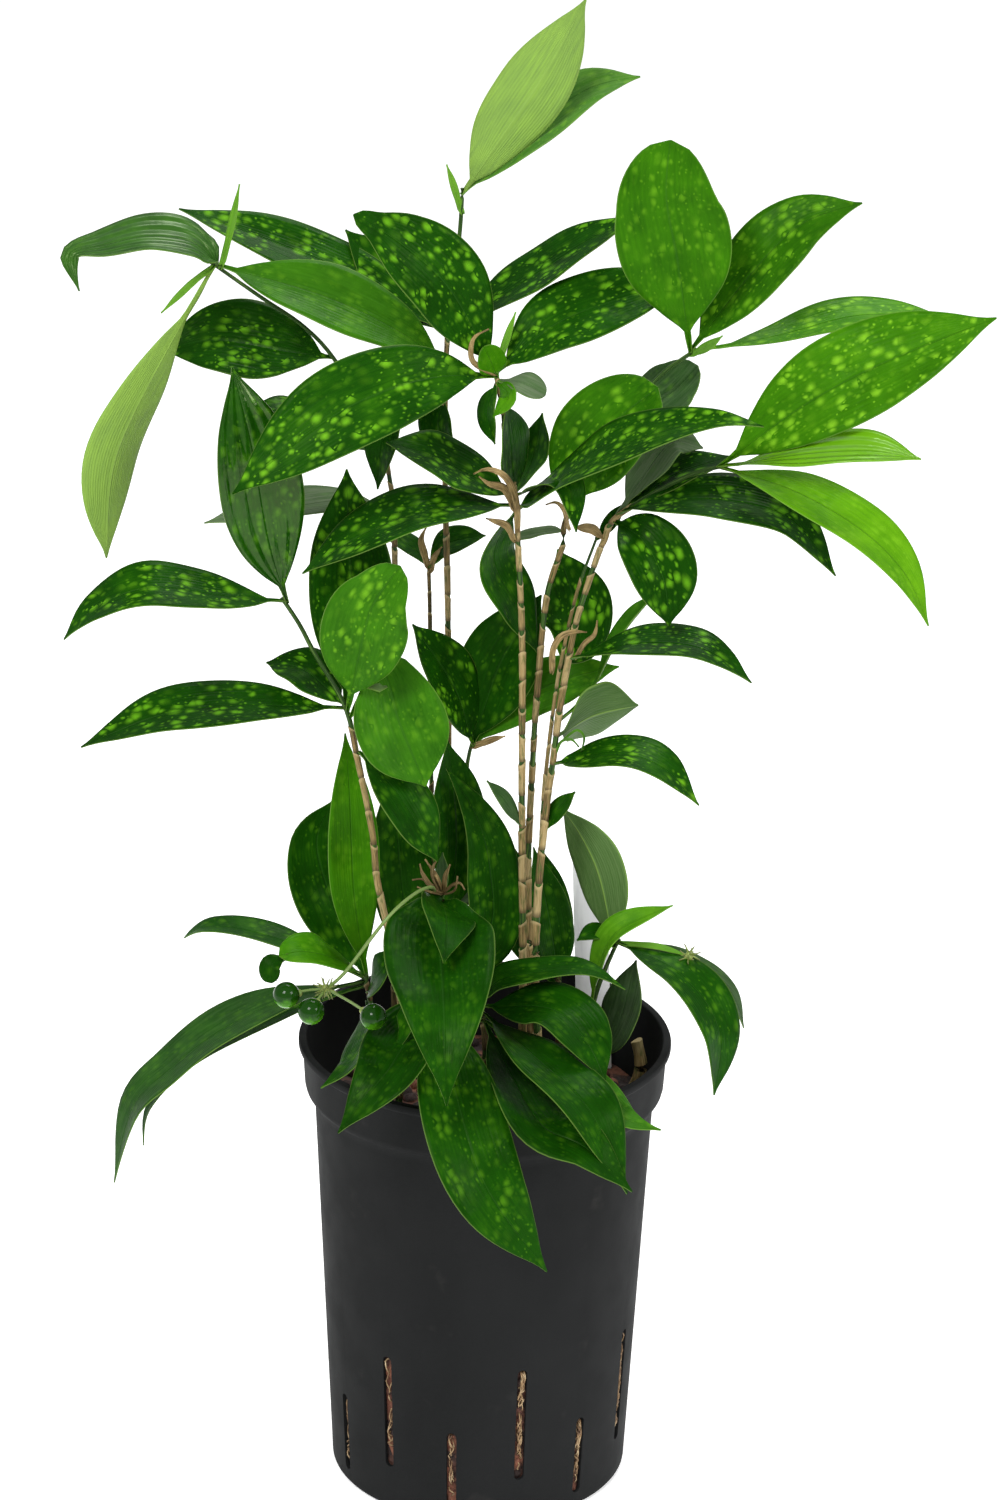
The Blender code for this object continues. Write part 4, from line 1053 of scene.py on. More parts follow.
def sheath_skin():
    """Dry sheaths round the canes: tan, brown where each starts and pale along its torn lip."""
    colours = bpy.context.scene.plant_colours
    nodes = Nodes("sheath_skin")
    place = nodes.split(nodes.attribute("place"))
    grain = nodes.attribute("grain")
    kind = nodes.parts(nodes.attribute("look", "Color"))
    shifted = nodes.vector("ADD", grain, nodes.vector("MULTIPLY", nodes.attribute("place"), (0.0, 9.0, 0.0)))
    fibres = nodes.noise(nodes.vector("MULTIPLY", shifted, (5.0, 5.0, 0.9)), 1.0, 4.0)
    cloud = nodes.noise(nodes.vector("MULTIPLY", shifted, (1.0, 1.0, 1.3)), 1.6, 3.0)
    mixed = nodes.math("MULTIPLY_ADD", nodes.math("SUBTRACT", kind[1], 0.5), 0.35, fibres)
    dry = nodes.ramp(mixed, ((0.25, colours.sheath_brown), (0.45, colours.sheath_tan), (0.78, colours.sheath_pale)))
    aged = nodes.math("MULTIPLY", kind[0], nodes.spread(cloud, 0.2, 0.6, 0.55, 1.0))
    dry = nodes.mix(aged, dry, colours.sheath_brown)
    greened = nodes.math("MULTIPLY", nodes.spread(cloud, 0.5, 0.68), 0.6)
    dry = nodes.mix(greened, dry, colours.core_green)
    start = nodes.math("MULTIPLY", nodes.spread(place[0], 0.22, 0.0), 0.75)
    dry = nodes.mix(start, dry, colours.sheath_brown)
    lip = nodes.math("MULTIPLY", nodes.spread(place[0], 0.86, 0.97), 0.6)
    dry = nodes.mix(lip, dry, colours.sheath_pale)
    surface = nodes.bump(fibres, 0.5, 0.0005)
    shine = nodes.spread(fibres, 0.2, 0.8, 0.5, 0.8)
    nodes.shade(Base_Color=dry, Roughness=shine, Specular_IOR_Level=DRY_GLOSS, Normal=surface)
    return nodes.material


def cane_core():
    """The cane itself: green, darker and browner in patches."""
    colours = bpy.context.scene.plant_colours
    nodes = Nodes("cane_core")
    grain = nodes.attribute("grain")
    kind = nodes.parts(nodes.attribute("look", "Color"))
    streak = nodes.noise(nodes.vector("MULTIPLY", grain, (2.0, 2.0, 0.8)), 1.0, 3.0)
    green = nodes.ramp(streak, ((0.3, colours.core_dark), (0.55, colours.core_green), (0.8, colours.core_fresh)))
    green = nodes.mix(kind[2], green, colours.core_fresh)
    surface = nodes.bump(streak, 0.3, 0.0005)
    shine = nodes.spread(streak, 0.3, 0.7, 0.35, 0.55)
    nodes.shade(Base_Color=green, Roughness=shine, Specular_IOR_Level=DRY_GLOSS, Normal=surface)
    return nodes.material


def berry_skin():
    """Glossy green berries, mottled lighter and lighter towards the bottom."""
    colours = bpy.context.scene.plant_colours
    nodes = Nodes("berry_skin")
    grain = nodes.attribute("grain")
    place = nodes.split(nodes.attribute("place"))
    cloud = nodes.noise(grain, 3.5, 3.0)
    # Lighter towards the bottom of each berry and in mottled patches
    height_and_mottle = nodes.math("MULTIPLY_ADD", nodes.math("SUBTRACT", cloud, 0.5), 1.2, place[2])
    green = nodes.mix(nodes.spread(height_and_mottle, 0.1, -0.9), colours.berry, colours.berry_light)
    surface = nodes.bump(cloud, 0.08, 0.0005)
    shine = nodes.spread(cloud, 0.3, 0.7, 0.08, 0.16)
    nodes.shade(Base_Color=green, Roughness=shine, Specular_IOR_Level=BERRY_GLOSS, Normal=surface)
    return nodes.material


def spent_flower():
    """Dry yellow-green star flowers and their stalks."""
    colours = bpy.context.scene.plant_colours
    nodes = Nodes("spent_flower")
    grain = nodes.attribute("grain")
    place = nodes.split(nodes.attribute("place"))
    cloud = nodes.noise(grain, 6.0, 3.0)
    green = nodes.mix(nodes.spread(cloud, 0.35, 0.65), colours.star, colours.stalk)
    tipped = nodes.mix(nodes.spread(place[0], 0.6, 1.0, 0.0, 0.6), green, colours.sheath_brown)
    surface = nodes.bump(cloud, 0.3, 0.0003)
    nodes.shade(Base_Color=tipped, Roughness=nodes.spread(cloud, 0.3, 0.7, 0.45, 0.65), Normal=surface)
    return nodes.material


def stalk_skin():
    """Smooth green stalks of the spray."""
    colours = bpy.context.scene.plant_colours
    nodes = Nodes("stalk_skin")
    grain = nodes.attribute("grain")
    streak = nodes.noise(nodes.vector("MULTIPLY", grain, (2.0, 2.0, 0.8)), 1.0, 3.0)
    green = nodes.mix(nodes.spread(streak, 0.35, 0.65), colours.stalk, colours.core_fresh)
    surface = nodes.bump(streak, 0.2, 0.0003)
    nodes.shade(Base_Color=green, Roughness=nodes.spread(streak, 0.3, 0.7, 0.35, 0.5), Normal=surface)
    return nodes.material


def pot_plastic():
    """Moulded dark grey plastic with a fine grain, faint flow clouds and a little dust."""
    colours = bpy.context.scene.plant_colours
    nodes = Nodes("pot_plastic")
    where = nodes.add("ShaderNodeTexCoord", "Object")
    flow = nodes.noise(nodes.vector("MULTIPLY", where, (1.0, 1.0, 0.4)), 14.0, 4.0)
    grain = nodes.noise(where, 900.0, 2.0)
    dust = nodes.noise(where, 55.0, 6.0)
    grey = nodes.mix(nodes.spread(flow, 0.3, 0.7), colours.pot, colours.pot_light)
    grey = nodes.mix(nodes.spread(dust, 0.62, 0.82, 0.0, 0.12), grey, colours.dust)
    surface = nodes.bump(grain, 0.12, 0.0003)
    surface = nodes.bump(flow, 0.1, 0.002, surface)
    shine = nodes.spread(dust, 0.3, 0.75, 0.6, 0.72)
    nodes.shade(Base_Color=grey, Roughness=shine, Specular_IOR_Level=POT_GLOSS, Normal=surface)
    return nodes.material


def clay_skin():
    """Fired clay granules: red-brown, rough and pitted, with dark damp patches."""
    colours = bpy.context.scene.plant_colours
    nodes = Nodes("clay_skin")
    where = nodes.add("ShaderNodeTexCoord", "Object")
    cells = nodes.tree.nodes.new("ShaderNodeTexVoronoi")
    nodes.set(cells.inputs["Vector"], where)
    cells.inputs["Scale"].default_value = 130.0
    chance = nodes.parts(cells.outputs["Color"])[0]
    pits = nodes.noise(where, 900.0, 4.0)
    cloud = nodes.noise(where, 120.0, 4.0)
    clay = nodes.ramp(chance, ((0.0, colours.clay_dark), (0.5, colours.clay), (1.0, colours.clay_light)))
    clay = nodes.mix(nodes.spread(cloud, 0.4, 0.65), clay, colours.clay_dark)
    lumps = nodes.math("MULTIPLY_ADD", pits, 0.3, nodes.spread(cells.outputs["Distance"], 0.6, 0.0))
    surface = nodes.bump(lumps, 0.7, 0.0015)
    nodes.shade(Base_Color=clay, Roughness=nodes.spread(pits, 0.2, 0.8, 0.7, 0.95), Normal=surface)
    return nodes.material


def root_skin():
    """Fine roots: golden tan, browner in places."""
    colours = bpy.context.scene.plant_colours
    nodes = Nodes("root_skin")
    where = nodes.add("ShaderNodeTexCoord", "Object")
    cloud = nodes.noise(where, 260.0, 3.0)
    tan = nodes.ramp(cloud, ((0.3, colours.root_brown), (0.5, colours.root), (0.75, colours.root_pale)))
    surface = nodes.bump(cloud, 0.3, 0.0003)
    nodes.shade(Base_Color=tan, Roughness=nodes.spread(cloud, 0.2, 0.8, 0.5, 0.75), Normal=surface)
    return nodes.material


def label_plastic():
    """Plain white plastic with faint scuffs."""
    colours = bpy.context.scene.plant_colours
    nodes = Nodes("label_plastic")
    where = nodes.add("ShaderNodeTexCoord", "Object")
    scuffs = nodes.noise(nodes.vector("MULTIPLY", where, (1.0, 1.0, 0.15)), 240.0, 4.0)
    white = nodes.mix(nodes.spread(scuffs, 0.55, 0.75, 0.0, 0.35), colours.label, colours.label_shade)
    surface = nodes.bump(scuffs, 0.1, 0.0003)
    nodes.shade(Base_Color=white, Roughness=nodes.spread(scuffs, 0.3, 0.7, 0.4, 0.55), Normal=surface)
    return nodes.material


def colour_property(name, description, default):
    return FloatVectorProperty(name=name, description=description, default=default, size=3, subtype="COLOR", min=0, max=1)


def length_property(name, description, default):
    return FloatProperty(name=name, description=description, default=default * MM, unit="LENGTH", min=0)


class PlantSizes(bpy.types.PropertyGroup):
    """The sizes that a user would change."""

    blade_thickness: length_property("Blade Thickness", "Thickness of every blade", BLADE_THICKNESS)
    sheath_gap: length_property("Sheath Gap", "Bare length of cane between two sheaths", SHEATH_GAP)
    slot_width: length_property("Slot Width", "Width of the slots in the pot's wall", SLOT_WIDTH)
    berry_radius: length_property("Berry Radius", "Radius of each berry", BERRY_RADIUS)
    granule_count: IntProperty(name="Granules", description="Clay granules on top", default=GRANULE_COUNT, min=0)
    root_count: IntProperty(name="Roots", description="Fine roots in a high slot", default=ROOT_COUNT, min=0)


class PlantColours(bpy.types.PropertyGroup):
    """The colours of the plant, its pot and its filling."""

    leaf_deep: colour_property("Leaf Deep", "Deepest green of old blades", (0.0012, 0.011, 0.0005))
    leaf_dark: colour_property("Leaf Dark", "Green of old blades", (0.0065, 0.052, 0.0012))
    leaf_fresh: colour_property("Leaf Fresh", "Green of younger blades", (0.036, 0.158, 0.002))
    leaf_lime: colour_property("Leaf Lime", "Green of the youngest blades", (0.125, 0.34, 0.006))
    fleck: colour_property("Fleck", "Flecks on old blades", (0.07, 0.26, 0.006))
    fleck_fresh: colour_property("Fleck Fresh", "Flecks on young blades", (0.22, 0.48, 0.02))
    # Painted sheen: the grey that glossy blades show as a reflection, put into their colour
    leaf_painted_sheen: colour_property("Leaf Grey", "Grey bloom on some blades", (0.11, 0.15, 0.085))
    margin: colour_property("Margin", "Pale margin of the blades", (0.22, 0.36, 0.07))
    midrib: colour_property("Midrib", "Line over the midrib", (0.02, 0.08, 0.01))
    under_dark: colour_property("Underside Dark", "Darkest parts of undersides", (0.03, 0.09, 0.012))
    under_grey: colour_property("Underside Grey", "Grey-green of old undersides", (0.09, 0.16, 0.05))
    under_bright: colour_property("Underside Bright", "Green of young undersides", (0.2, 0.34, 0.055))
    sheath_tan: colour_property("Sheath Tan", "Dry sheaths", (0.3, 0.207, 0.08))
    sheath_pale: colour_property("Sheath Pale", "Palest parts of dry sheaths", (0.46, 0.36, 0.18))
    sheath_brown: colour_property("Sheath Brown", "Darkest parts of dry sheaths", (0.062, 0.042, 0.02))
    core_dark: colour_property("Cane Dark", "Dark parts of the bare cane", (0.012, 0.025, 0.008))
    core_green: colour_property("Cane Green", "Bare cane", (0.035, 0.085, 0.015))
    core_fresh: colour_property("Cane Fresh", "Young bare cane", (0.13, 0.21, 0.045))
    berry: colour_property("Berry", "Berries", (0.006, 0.04, 0.0012))
    berry_light: colour_property("Berry Light", "Lighter parts of berries", (0.07, 0.26, 0.008))
    stalk: colour_property("Stalk", "Stalk of the berry spray", (0.14, 0.22, 0.05))
    star: colour_property("Star", "Spent star flowers", (0.3, 0.34, 0.08))
    pot: colour_property("Pot", "Pot plastic", (0.0103, 0.0109, 0.0109))
    pot_light: colour_property("Pot Light", "Lighter flow marks of the pot", (0.0138, 0.0144, 0.0147))
    dust: colour_property("Dust", "Dust on the pot", (0.12, 0.11, 0.1))
    clay: colour_property("Clay", "Clay granules", (0.12, 0.04, 0.022))
    clay_dark: colour_property("Clay Dark", "Damp clay granules", (0.02, 0.01, 0.008))
    clay_light: colour_property("Clay Light", "Lightest clay granules", (0.27, 0.1, 0.055))
    root: colour_property("Root", "Fine roots", (0.27, 0.165, 0.075))
    root_brown: colour_property("Root Brown", "Darker roots", (0.09, 0.04, 0.018))
    root_pale: colour_property("Root Pale", "Palest roots", (0.55, 0.43, 0.26))
    label: colour_property("Label", "Plain label", (0.82, 0.82, 0.84))
    label_shade: colour_property("Label Shade", "Scuffs on the label", (0.55, 0.55, 0.58))
    floor: colour_property("Floor", "Floor of the stage", (0.96, 0.96, 0.96))


def body_radius(height):
    """The outer radius of the pot's tapered body at a height."""
    share = height / (POT_HEIGHT - BAND_HEIGHT)
    return BASE_RADIUS + (BODY_TOP_RADIUS - BASE_RADIUS) * share


def pot_profile():
    """The pot's section: from the flat underside up the outside, over the rim and down to the floor."""
    band_low = POT_HEIGHT - BAND_HEIGHT
    lip_low = POT_HEIGHT - LIP_HEIGHT
    inner_band = BAND_LOW_RADIUS - WALL
    inner_foot = body_radius(FLOOR + BASE_CORNER) - WALL
    corner = []
    for step in range(CORNER_STEPS + 1):
        bend = math.radians(90.0 * step / CORNER_STEPS)
        across = BASE_RADIUS - BASE_CORNER + BASE_CORNER * math.sin(bend)
        corner.append((across, BASE_CORNER - BASE_CORNER * math.cos(bend)))
    soft = LIP_EDGE * 0.4
    outside = [
        (body_radius(band_low - BAND_BEVEL), band_low - BAND_BEVEL),
        (body_radius(band_low) + 0.4, band_low - 1.2),
        (BAND_LOW_RADIUS - BAND_EDGE, band_low + LIP_EDGE),
        (BAND_LOW_RADIUS - 0.4, band_low + BAND_BEVEL * 0.6),
        (BAND_LOW_RADIUS, band_low + BAND_BEVEL),
        (BAND_TOP_RADIUS - 0.1, lip_low - 1.0),
        (BAND_TOP_RADIUS + 0.15, lip_low - soft),
        (RIM_RADIUS - soft, lip_low + soft),
        (RIM_RADIUS, lip_low + LIP_EDGE),
        (RIM_RADIUS, POT_HEIGHT - LIP_EDGE),
        (RIM_RADIUS - soft * 0.7, POT_HEIGHT - soft * 0.7),
        (RIM_RADIUS - LIP_EDGE, POT_HEIGHT),
    ]
    inside = [
        (BAND_TOP_RADIUS - WALL + soft, POT_HEIGHT),
        (BAND_TOP_RADIUS - WALL, POT_HEIGHT - soft),
        (inner_band, band_low + BAND_BEVEL + LIP_EDGE),
        (body_radius(band_low - BAND_BEVEL) - WALL, band_low - BAND_BEVEL + LIP_EDGE),
        (inner_foot, FLOOR + BASE_CORNER),
        (inner_foot - BASE_CORNER * 0.3, FLOOR + BASE_CORNER * 0.3),
        (inner_foot - BASE_CORNER, FLOOR),
        (0.0, FLOOR),
    ]
    return [(0.0, 0.0)] + corner + outside + inside


def slot_angle(index):
    return math.radians(SLOT_FIRST_ANGLE + index * 360.0 / SLOT_COUNT)


def slot_span(index):
    return LOW_SLOT if index % 2 == 0 else HIGH_SLOT


def slot_cutter(index, width):
    """A bar with round ends that cuts one slot through the wall."""
    low, high = slot_span(index)
    half = width * 0.5
    bm = bmesh.new()
    outline = []
    for end, start in ((high - half, 0.0), (low + half, math.pi)):
        for step in range(SLOT_ARC + 1):
            bend = start + math.pi * step / SLOT_ARC
            outline.append((half * math.cos(bend), end + half * math.sin(bend)))
    near = BASE_RADIUS - SLOT_REACH * 0.5
    verts = [bm.verts.new((across * MM, -near * MM, height * MM)) for across, height in outline]
    pushed = bmesh.ops.extrude_face_region(bm, geom=[bm.faces.new(verts)], use_keep_orig=True)
    moved = [item for item in pushed["geom"] if isinstance(item, bmesh.types.BMVert)]
    bmesh.ops.translate(bm, verts=moved, vec=(0.0, -SLOT_REACH * 1.5 * MM, 0.0))
    bmesh.ops.rotate(bm, verts=bm.verts, cent=(0, 0, 0), matrix=Matrix.Rotation(slot_angle(index), 3, "Z"))
    bmesh.ops.recalc_face_normals(bm, faces=bm.faces)
    return bm


def drain_cutter(index):
    angle = math.tau * index / DRAIN_COUNT
    bm = bmesh.new()
    bmesh.ops.create_cone(
        bm, cap_ends=True, segments=20, radius1=DRAIN_RADIUS * MM, radius2=DRAIN_RADIUS * MM, depth=FLOOR * 4 * MM,
    )
    where = Vector((math.cos(angle), math.sin(angle), 0.0)) * DRAIN_RING * MM
    bmesh.ops.translate(bm, verts=bm.verts, vec=where)
    return bm


def cut(target, cutters):
    """Takes the cutters' shapes out of the target, and leaves no live modifier and no cutter behind."""
    group = bpy.data.collections.new("cutters")
    bpy.context.scene.collection.children.link(group)
    for bm in cutters:
        mesh = bpy.data.meshes.new("cutter")
        bm.to_mesh(mesh)
        bm.free()
        group.objects.link(bpy.data.objects.new("cutter", mesh))
    modifier = target.modifiers.new("cut", "BOOLEAN")
    modifier.operation = "DIFFERENCE"
    modifier.operand_type = "COLLECTION"
    modifier.collection = group
    modifier.solver = "EXACT"
    view = bpy.context.evaluated_depsgraph_get()
    result = bpy.data.meshes.new_from_object(target.evaluated_get(view))
    target.modifiers.clear()
    target.data = result
    for cutter in list(group.objects):
        bpy.data.objects.remove(cutter)
    bpy.data.collections.remove(group)


class PLANT_OT_pot(bpy.types.Operator):
    """Make the slotted pot"""

    bl_idname = "plant.make_pot"
    bl_label = "Pot"

    def execute(self, context):
        bm = bmesh.new()
        verts = [bm.verts.new((radius * MM, 0.0, height * MM)) for radius, height in pot_profile()]
        edges = [bm.edges.new(pair) for pair in zip(verts, verts[1:])]
        bmesh.ops.spin(
            bm, geom=verts + edges, axis=(0, 0, 1), cent=(0, 0, 0),
            angle=math.tau, steps=POT_SIDES, use_merge=True, use_duplicate=False,
        )
        bmesh.ops.remove_doubles(bm, verts=bm.verts, dist=0.00001)
        bmesh.ops.recalc_face_normals(bm, faces=bm.faces)
        pot = new_piece("culture_pot", bm, [pot_plastic()], ["pot"])
        width = context.scene.plant_sizes.slot_width / MM
        cutters = [slot_cutter(index, width) for index in range(SLOT_COUNT)]
        cutters += [drain_cutter(index) for index in range(DRAIN_COUNT)]
        cut(pot, cutters)
        pot.data.shade_smooth()
        pot.data.set_sharp_from_angle(angle=math.radians(38))
        if len(pot.data.polygons) < POT_SIDES:
            raise RuntimeError("The pot's slots could not be cut")
        return {"FINISHED"}


def add_granule(bm, draw, centre, radius):
    squash = [draw.uniform(0.82, 1.1) for _ in range(3)]
    made = add_ball(bm, centre, radius, (0, 0, 0, 0), 2, squash)
    for vert in made:
        vert.co += (vert.co - centre * MM) * draw.uniform(-0.1, 0.08)


class PLANT_OT_filling(bpy.types.Operator):
    """Make the clay granules on top and behind the slots, and give the filling its skin"""

    bl_idname = "plant.make_filling"
    bl_label = "Filling"

    def execute(self, context):
        skin = clay_skin()
        filling = frame["nodes"]["substrate"]
        filling.data.materials.clear()
        filling.data.materials.append(skin)
        draw = random.Random(SEED)
        bm = bmesh.new()
        taken = [(stem.foot[0], stem.foot[1], stem.radius) for stem in STEMS.values()]
        foot = sight(*STUB_PATH[0])
        taken.append((foot.x, foot.y, STUB_RADIUS))
        for step in range(5):
            taken.append((LABEL_FOOT[0] + (step - 2) * LABEL_SIZE[0] * 0.25, LABEL_FOOT[1], 1.5))
        placed = 0
        for _ in range(context.scene.plant_sizes.granule_count * 12):
            if placed >= context.scene.plant_sizes.granule_count:
                break
            radius = draw.uniform(*GRANULE_RADII)
            reach = (SOIL_EDGE - radius) * math.sqrt(draw.random())
            angle = draw.uniform(0, math.tau)
            x = reach * math.cos(angle)
            y = reach * math.sin(angle)
            if any(math.hypot(x - a, y - b) < (radius + c) * 0.85 for a, b, c in taken):
                continue
            taken.append((x, y, radius))
            add_granule(bm, draw, Vector((x, y, SOIL_TOP - radius * 0.25)), radius)
            placed += 1
        for index in range(SLOT_COUNT):
            low, high = slot_span(index)
            angle = slot_angle(index)
            outward = Vector((math.sin(angle), -math.cos(angle), 0.0))
            sideways = Vector((math.cos(angle), math.sin(angle), 0.0))
            height = low + 2.0
            while height < high - 2.0:
                radius = draw.uniform(3.2, 4.4)
                reach = body_radius(max(height, FLOOR + BASE_CORNER)) - WALL - radius + 0.1
                centre = outward * reach + sideways * draw.uniform(-0.4, 0.4)
                add_granule(bm, draw, centre + Vector((0, 0, height)), radius)
                height += radius * draw.uniform(1.3, 2.1)
        new_piece("granules", bm, [skin])
        return {"FINISHED"}


class PLANT_OT_roots(bpy.types.Operator):
    """Make the fine roots that show in the slots"""

    bl_idname = "plant.make_roots"
    bl_label = "Roots"

    def execute(self, context):
        draw = random.Random(SEED + 1)
        bm = bmesh.new()
        for index in range(SLOT_COUNT):
            low, high = slot_span(index)
            angle = slot_angle(index)
            outward = Vector((math.sin(angle), -math.cos(angle), 0.0))
            sideways = Vector((math.cos(angle), math.sin(angle), 0.0))
            crowd = 0.25 + 0.75 * smooth(-0.4, 0.2, math.sin(angle))
            count = round(context.scene.plant_sizes.root_count * crowd * (high - low) / (HIGH_SLOT[1] - HIGH_SLOT[0]))
            for _ in range(count * 2):
                start = draw.uniform(low + 2, high - 8)
                rise = draw.uniform(4, 16)
                points = []
                for step in range(5):
                    height = min(start + rise * step / 4, high - 1.2)
                    depth = (-2.0, 0.5, 1.0, 0.5, -2.0)[step] + draw.uniform(-0.3, 0.3)
                    lean = draw.uniform(-1.3, 1.3)
                    reach = body_radius(height) - WALL + depth
                    points.append(outward * reach + sideways * lean + Vector((0, 0, height)))
                trace = Trace(points)
                thick = draw.uniform(*ROOT_RADII)
                add_tube(bm, trace, 0.0, trace.length, lambda share, r=thick: r, 9, 5, (0, 0, 0, 0))
        new_piece("fine_roots", bm, [root_skin()])
        return {"FINISHED"}


def cane_trace(stem):
    x, y = stem.foot
    low = Vector((x, y, SOIL_TOP - ROOTED))
    level = Vector((x, y, SOIL_TOP + 3.0))
    return Trace([low, level] + [sight(*point) for point in stem.path])


class PLANT_OT_canes(bpy.types.Operator):
    """Make the canes with their dry sheaths"""

    bl_idname = "plant.make_canes"
    bl_label = "Canes"

    def execute(self, context):
        skins = [sheath_skin(), cane_core()]
        gap = context.scene.plant_sizes.sheath_gap / MM
        for number, (name, stem) in enumerate(STEMS.items()):
            draw = random.Random(SEED + number)
            trace = cane_trace(stem)
            reach, brown = SHEATHS[name]
            bm = bmesh.new()

            def radius_at(length):
                return stem.radius * (1.0 - CANE_TAPER * length / trace.length)

            def core_radius(share):
                return radius_at(share * trace.length) * CORE_SHARE

            rings = max(int(trace.length / 4), 6)
            add_tube(bm, trace, 0.0, trace.length, core_radius, rings, 10, (0, 0, 0.0, 1), index=1)
            start = ROOTED - 2.0
            stop = trace.length * reach
            while start < stop:
                share = start / trace.length
                long = SHEATH_LENGTHS[0] + (SHEATH_LENGTHS[1] - SHEATH_LENGTHS[0]) * share
                end = min(start + long * draw.uniform(0.8, 1.25), trace.length - 1.0)
                near = radius_at((start + end) * 0.5) * draw.uniform(0.93, 1.06)

                def sheath_radius(part, r=near):
                    return r * (0.9 + 0.03 * smooth(0.0, 0.3, part) + 0.08 * smooth(0.7, 0.96, part))

                bare = draw.uniform(*BARE_LENGTHS) if draw.random() < BARE_CHANCE else gap * draw.uniform(0.5, 1.4)
                top = max(end - bare, start + 2.0)
                look = (min(brown * draw.uniform(0.6, 1.3), 1.0), draw.random(), 0, 1)
                turn = draw.uniform(0, math.tau)
                add_tube(bm, trace, start, top, sheath_radius, 8, 12, look, SHEATH_SLANT, turn)
                start = end
            new_piece(name + "_cane", bm, skins, [name], 45)
        return {"FINISHED"}


class PLANT_OT_leaves(bpy.types.Operator):
    """Make the leaves and bracts of every stem"""

    bl_idname = "plant.make_leaves"
    bl_label = "Leaves"

    def execute(self, context):
        papery = papery_skin()
        under = leaf_under()
        upper = leaf_upper("leaf_upper", LEAF_GLOSS)
        sheen = leaf_upper("leaf_sheen", SHEEN_GLOSS, True)
        skins = [upper, under, papery, papery, sheen, under]
        seed = SEED
        for name, stem in STEMS.items():
            bm = bmesh.new()
            for leaf in stem.leaves:
                seed += 1
                add_blade(bm, leaf, seed)
            piece = new_piece(name + "_leaves", bm, skins, [name])
            wall = piece.modifiers.new("thickness", "SOLIDIFY")
            wall.thickness = context.scene.plant_sizes.blade_thickness
            wall.offset = 0.0
            wall.material_offset = 1
            wall.use_even_offset = False
        return {"FINISHED"}


def add_star(bm, centre, draw, facing):
    """A spent star flower: a hub with thin filaments all round."""
    add_ball(bm, centre, HUB_RADIUS, (0, 0, 0, 0), 2)
    for step in range(FILAMENT_COUNT):
        turn = step * 2.4
        rise = 1.0 - 2.0 * (step + 0.5) / FILAMENT_COUNT
        flat = math.sqrt(1.0 - rise * rise)
        way = Vector((flat * math.cos(turn), flat * math.sin(turn), rise))
        way = (way + facing * 0.3).normalized() * FILAMENT_LENGTH * draw.uniform(0.8, 1.1)
        bend = Vector([draw.uniform(-0.5, 0.5) for _ in range(3)])
        trace = Trace([centre, centre + way * 0.5 + bend, centre + way])
        add_tube(bm, trace, 0, trace.length, lambda share: FILAMENT_RADIUS * (1.15 - share * 0.6), 5, 5, (0, 0, 0, 0))


class PLANT_OT_berries(bpy.types.Operator):
    """Make the spray of berries and the spent flowers"""

    bl_idname = "plant.make_berries"
    bl_label = "Berries"

    def execute(self, context):
        draw = random.Random(SEED)
        radius = context.scene.plant_sizes.berry_radius / MM
        skins = [berry_skin(), stalk_skin(), spent_flower()]
        bm = bmesh.new()
        path = [sight(*point) for point in SPRAY_PATH]
        stalk = Trace(path)
        add_tube(bm, stalk, 0, stalk.length, lambda share: SPRAY_RADIUS, 24, 8, (0, 0, 0, 0), index=1)
        hub = path[-1]
        for berry in BERRIES:
            centre = sight(*berry)
            way = (centre - hub).normalized()
            trace = Trace([hub, hub.lerp(centre, 0.5) + Vector((0, 0, 0.6)), centre])
            add_tube(bm, trace, 0, trace.length, lambda share: PEDICEL_RADIUS, 8, 8, (0, 0, 0, 0), index=1)
            add_ball(bm, centre, radius, (0, 0, 0, 0), 4)
            add_ball(bm, centre - way * radius * 0.96, radius * 0.3, (0, 0, 0, 0), 2, index=2)
        new_piece("berries", bm, skins, ["berry_spray"])
        bm = bmesh.new()
        facing = (VIEWPOINT - hub).normalized()
        add_star(bm, hub, draw, facing)
        add_star(bm, sight(*SPENT_FLOWER), draw, facing)
        new_piece("spent_flowers", bm, [skins[2]])
        return {"FINISHED"}


class PLANT_OT_label(bpy.types.Operator):
    """Make the plain label"""

    bl_idname = "plant.make_label"
    bl_label = "Label"

    def execute(self, context):
        bm = bmesh.new()
        bmesh.ops.create_cube(bm, size=1.0)
        bmesh.ops.scale(bm, verts=bm.verts, vec=Vector(LABEL_SIZE) * MM)
        upright = [edge for edge in bm.edges if abs(edge.verts[0].co.y - edge.verts[1].co.y) > LABEL_SIZE[1] * 0.5 * MM]
        bmesh.ops.bevel(
            bm, geom=upright, offset=LABEL_CORNER * MM, segments=6, profile=0.5, affect="EDGES", material=-1,
        )
        bmesh.ops.translate(bm, verts=bm.verts, vec=(0.0, 0.0, LABEL_SIZE[2] * 0.5 * MM))
        bmesh.ops.rotate(
            bm, verts=bm.verts, cent=(0, 0, 0), matrix=Matrix.Rotation(math.radians(LABEL_LEAN), 3, "Y"),
        )
        where = Vector((LABEL_FOOT[0], LABEL_FOOT[1], SOIL_TOP - ROOTED)) * MM
        bmesh.ops.translate(bm, verts=bm.verts, vec=where)
        new_piece("plain_label", bm, [label_plastic()], ["label"])
        return {"FINISHED"}


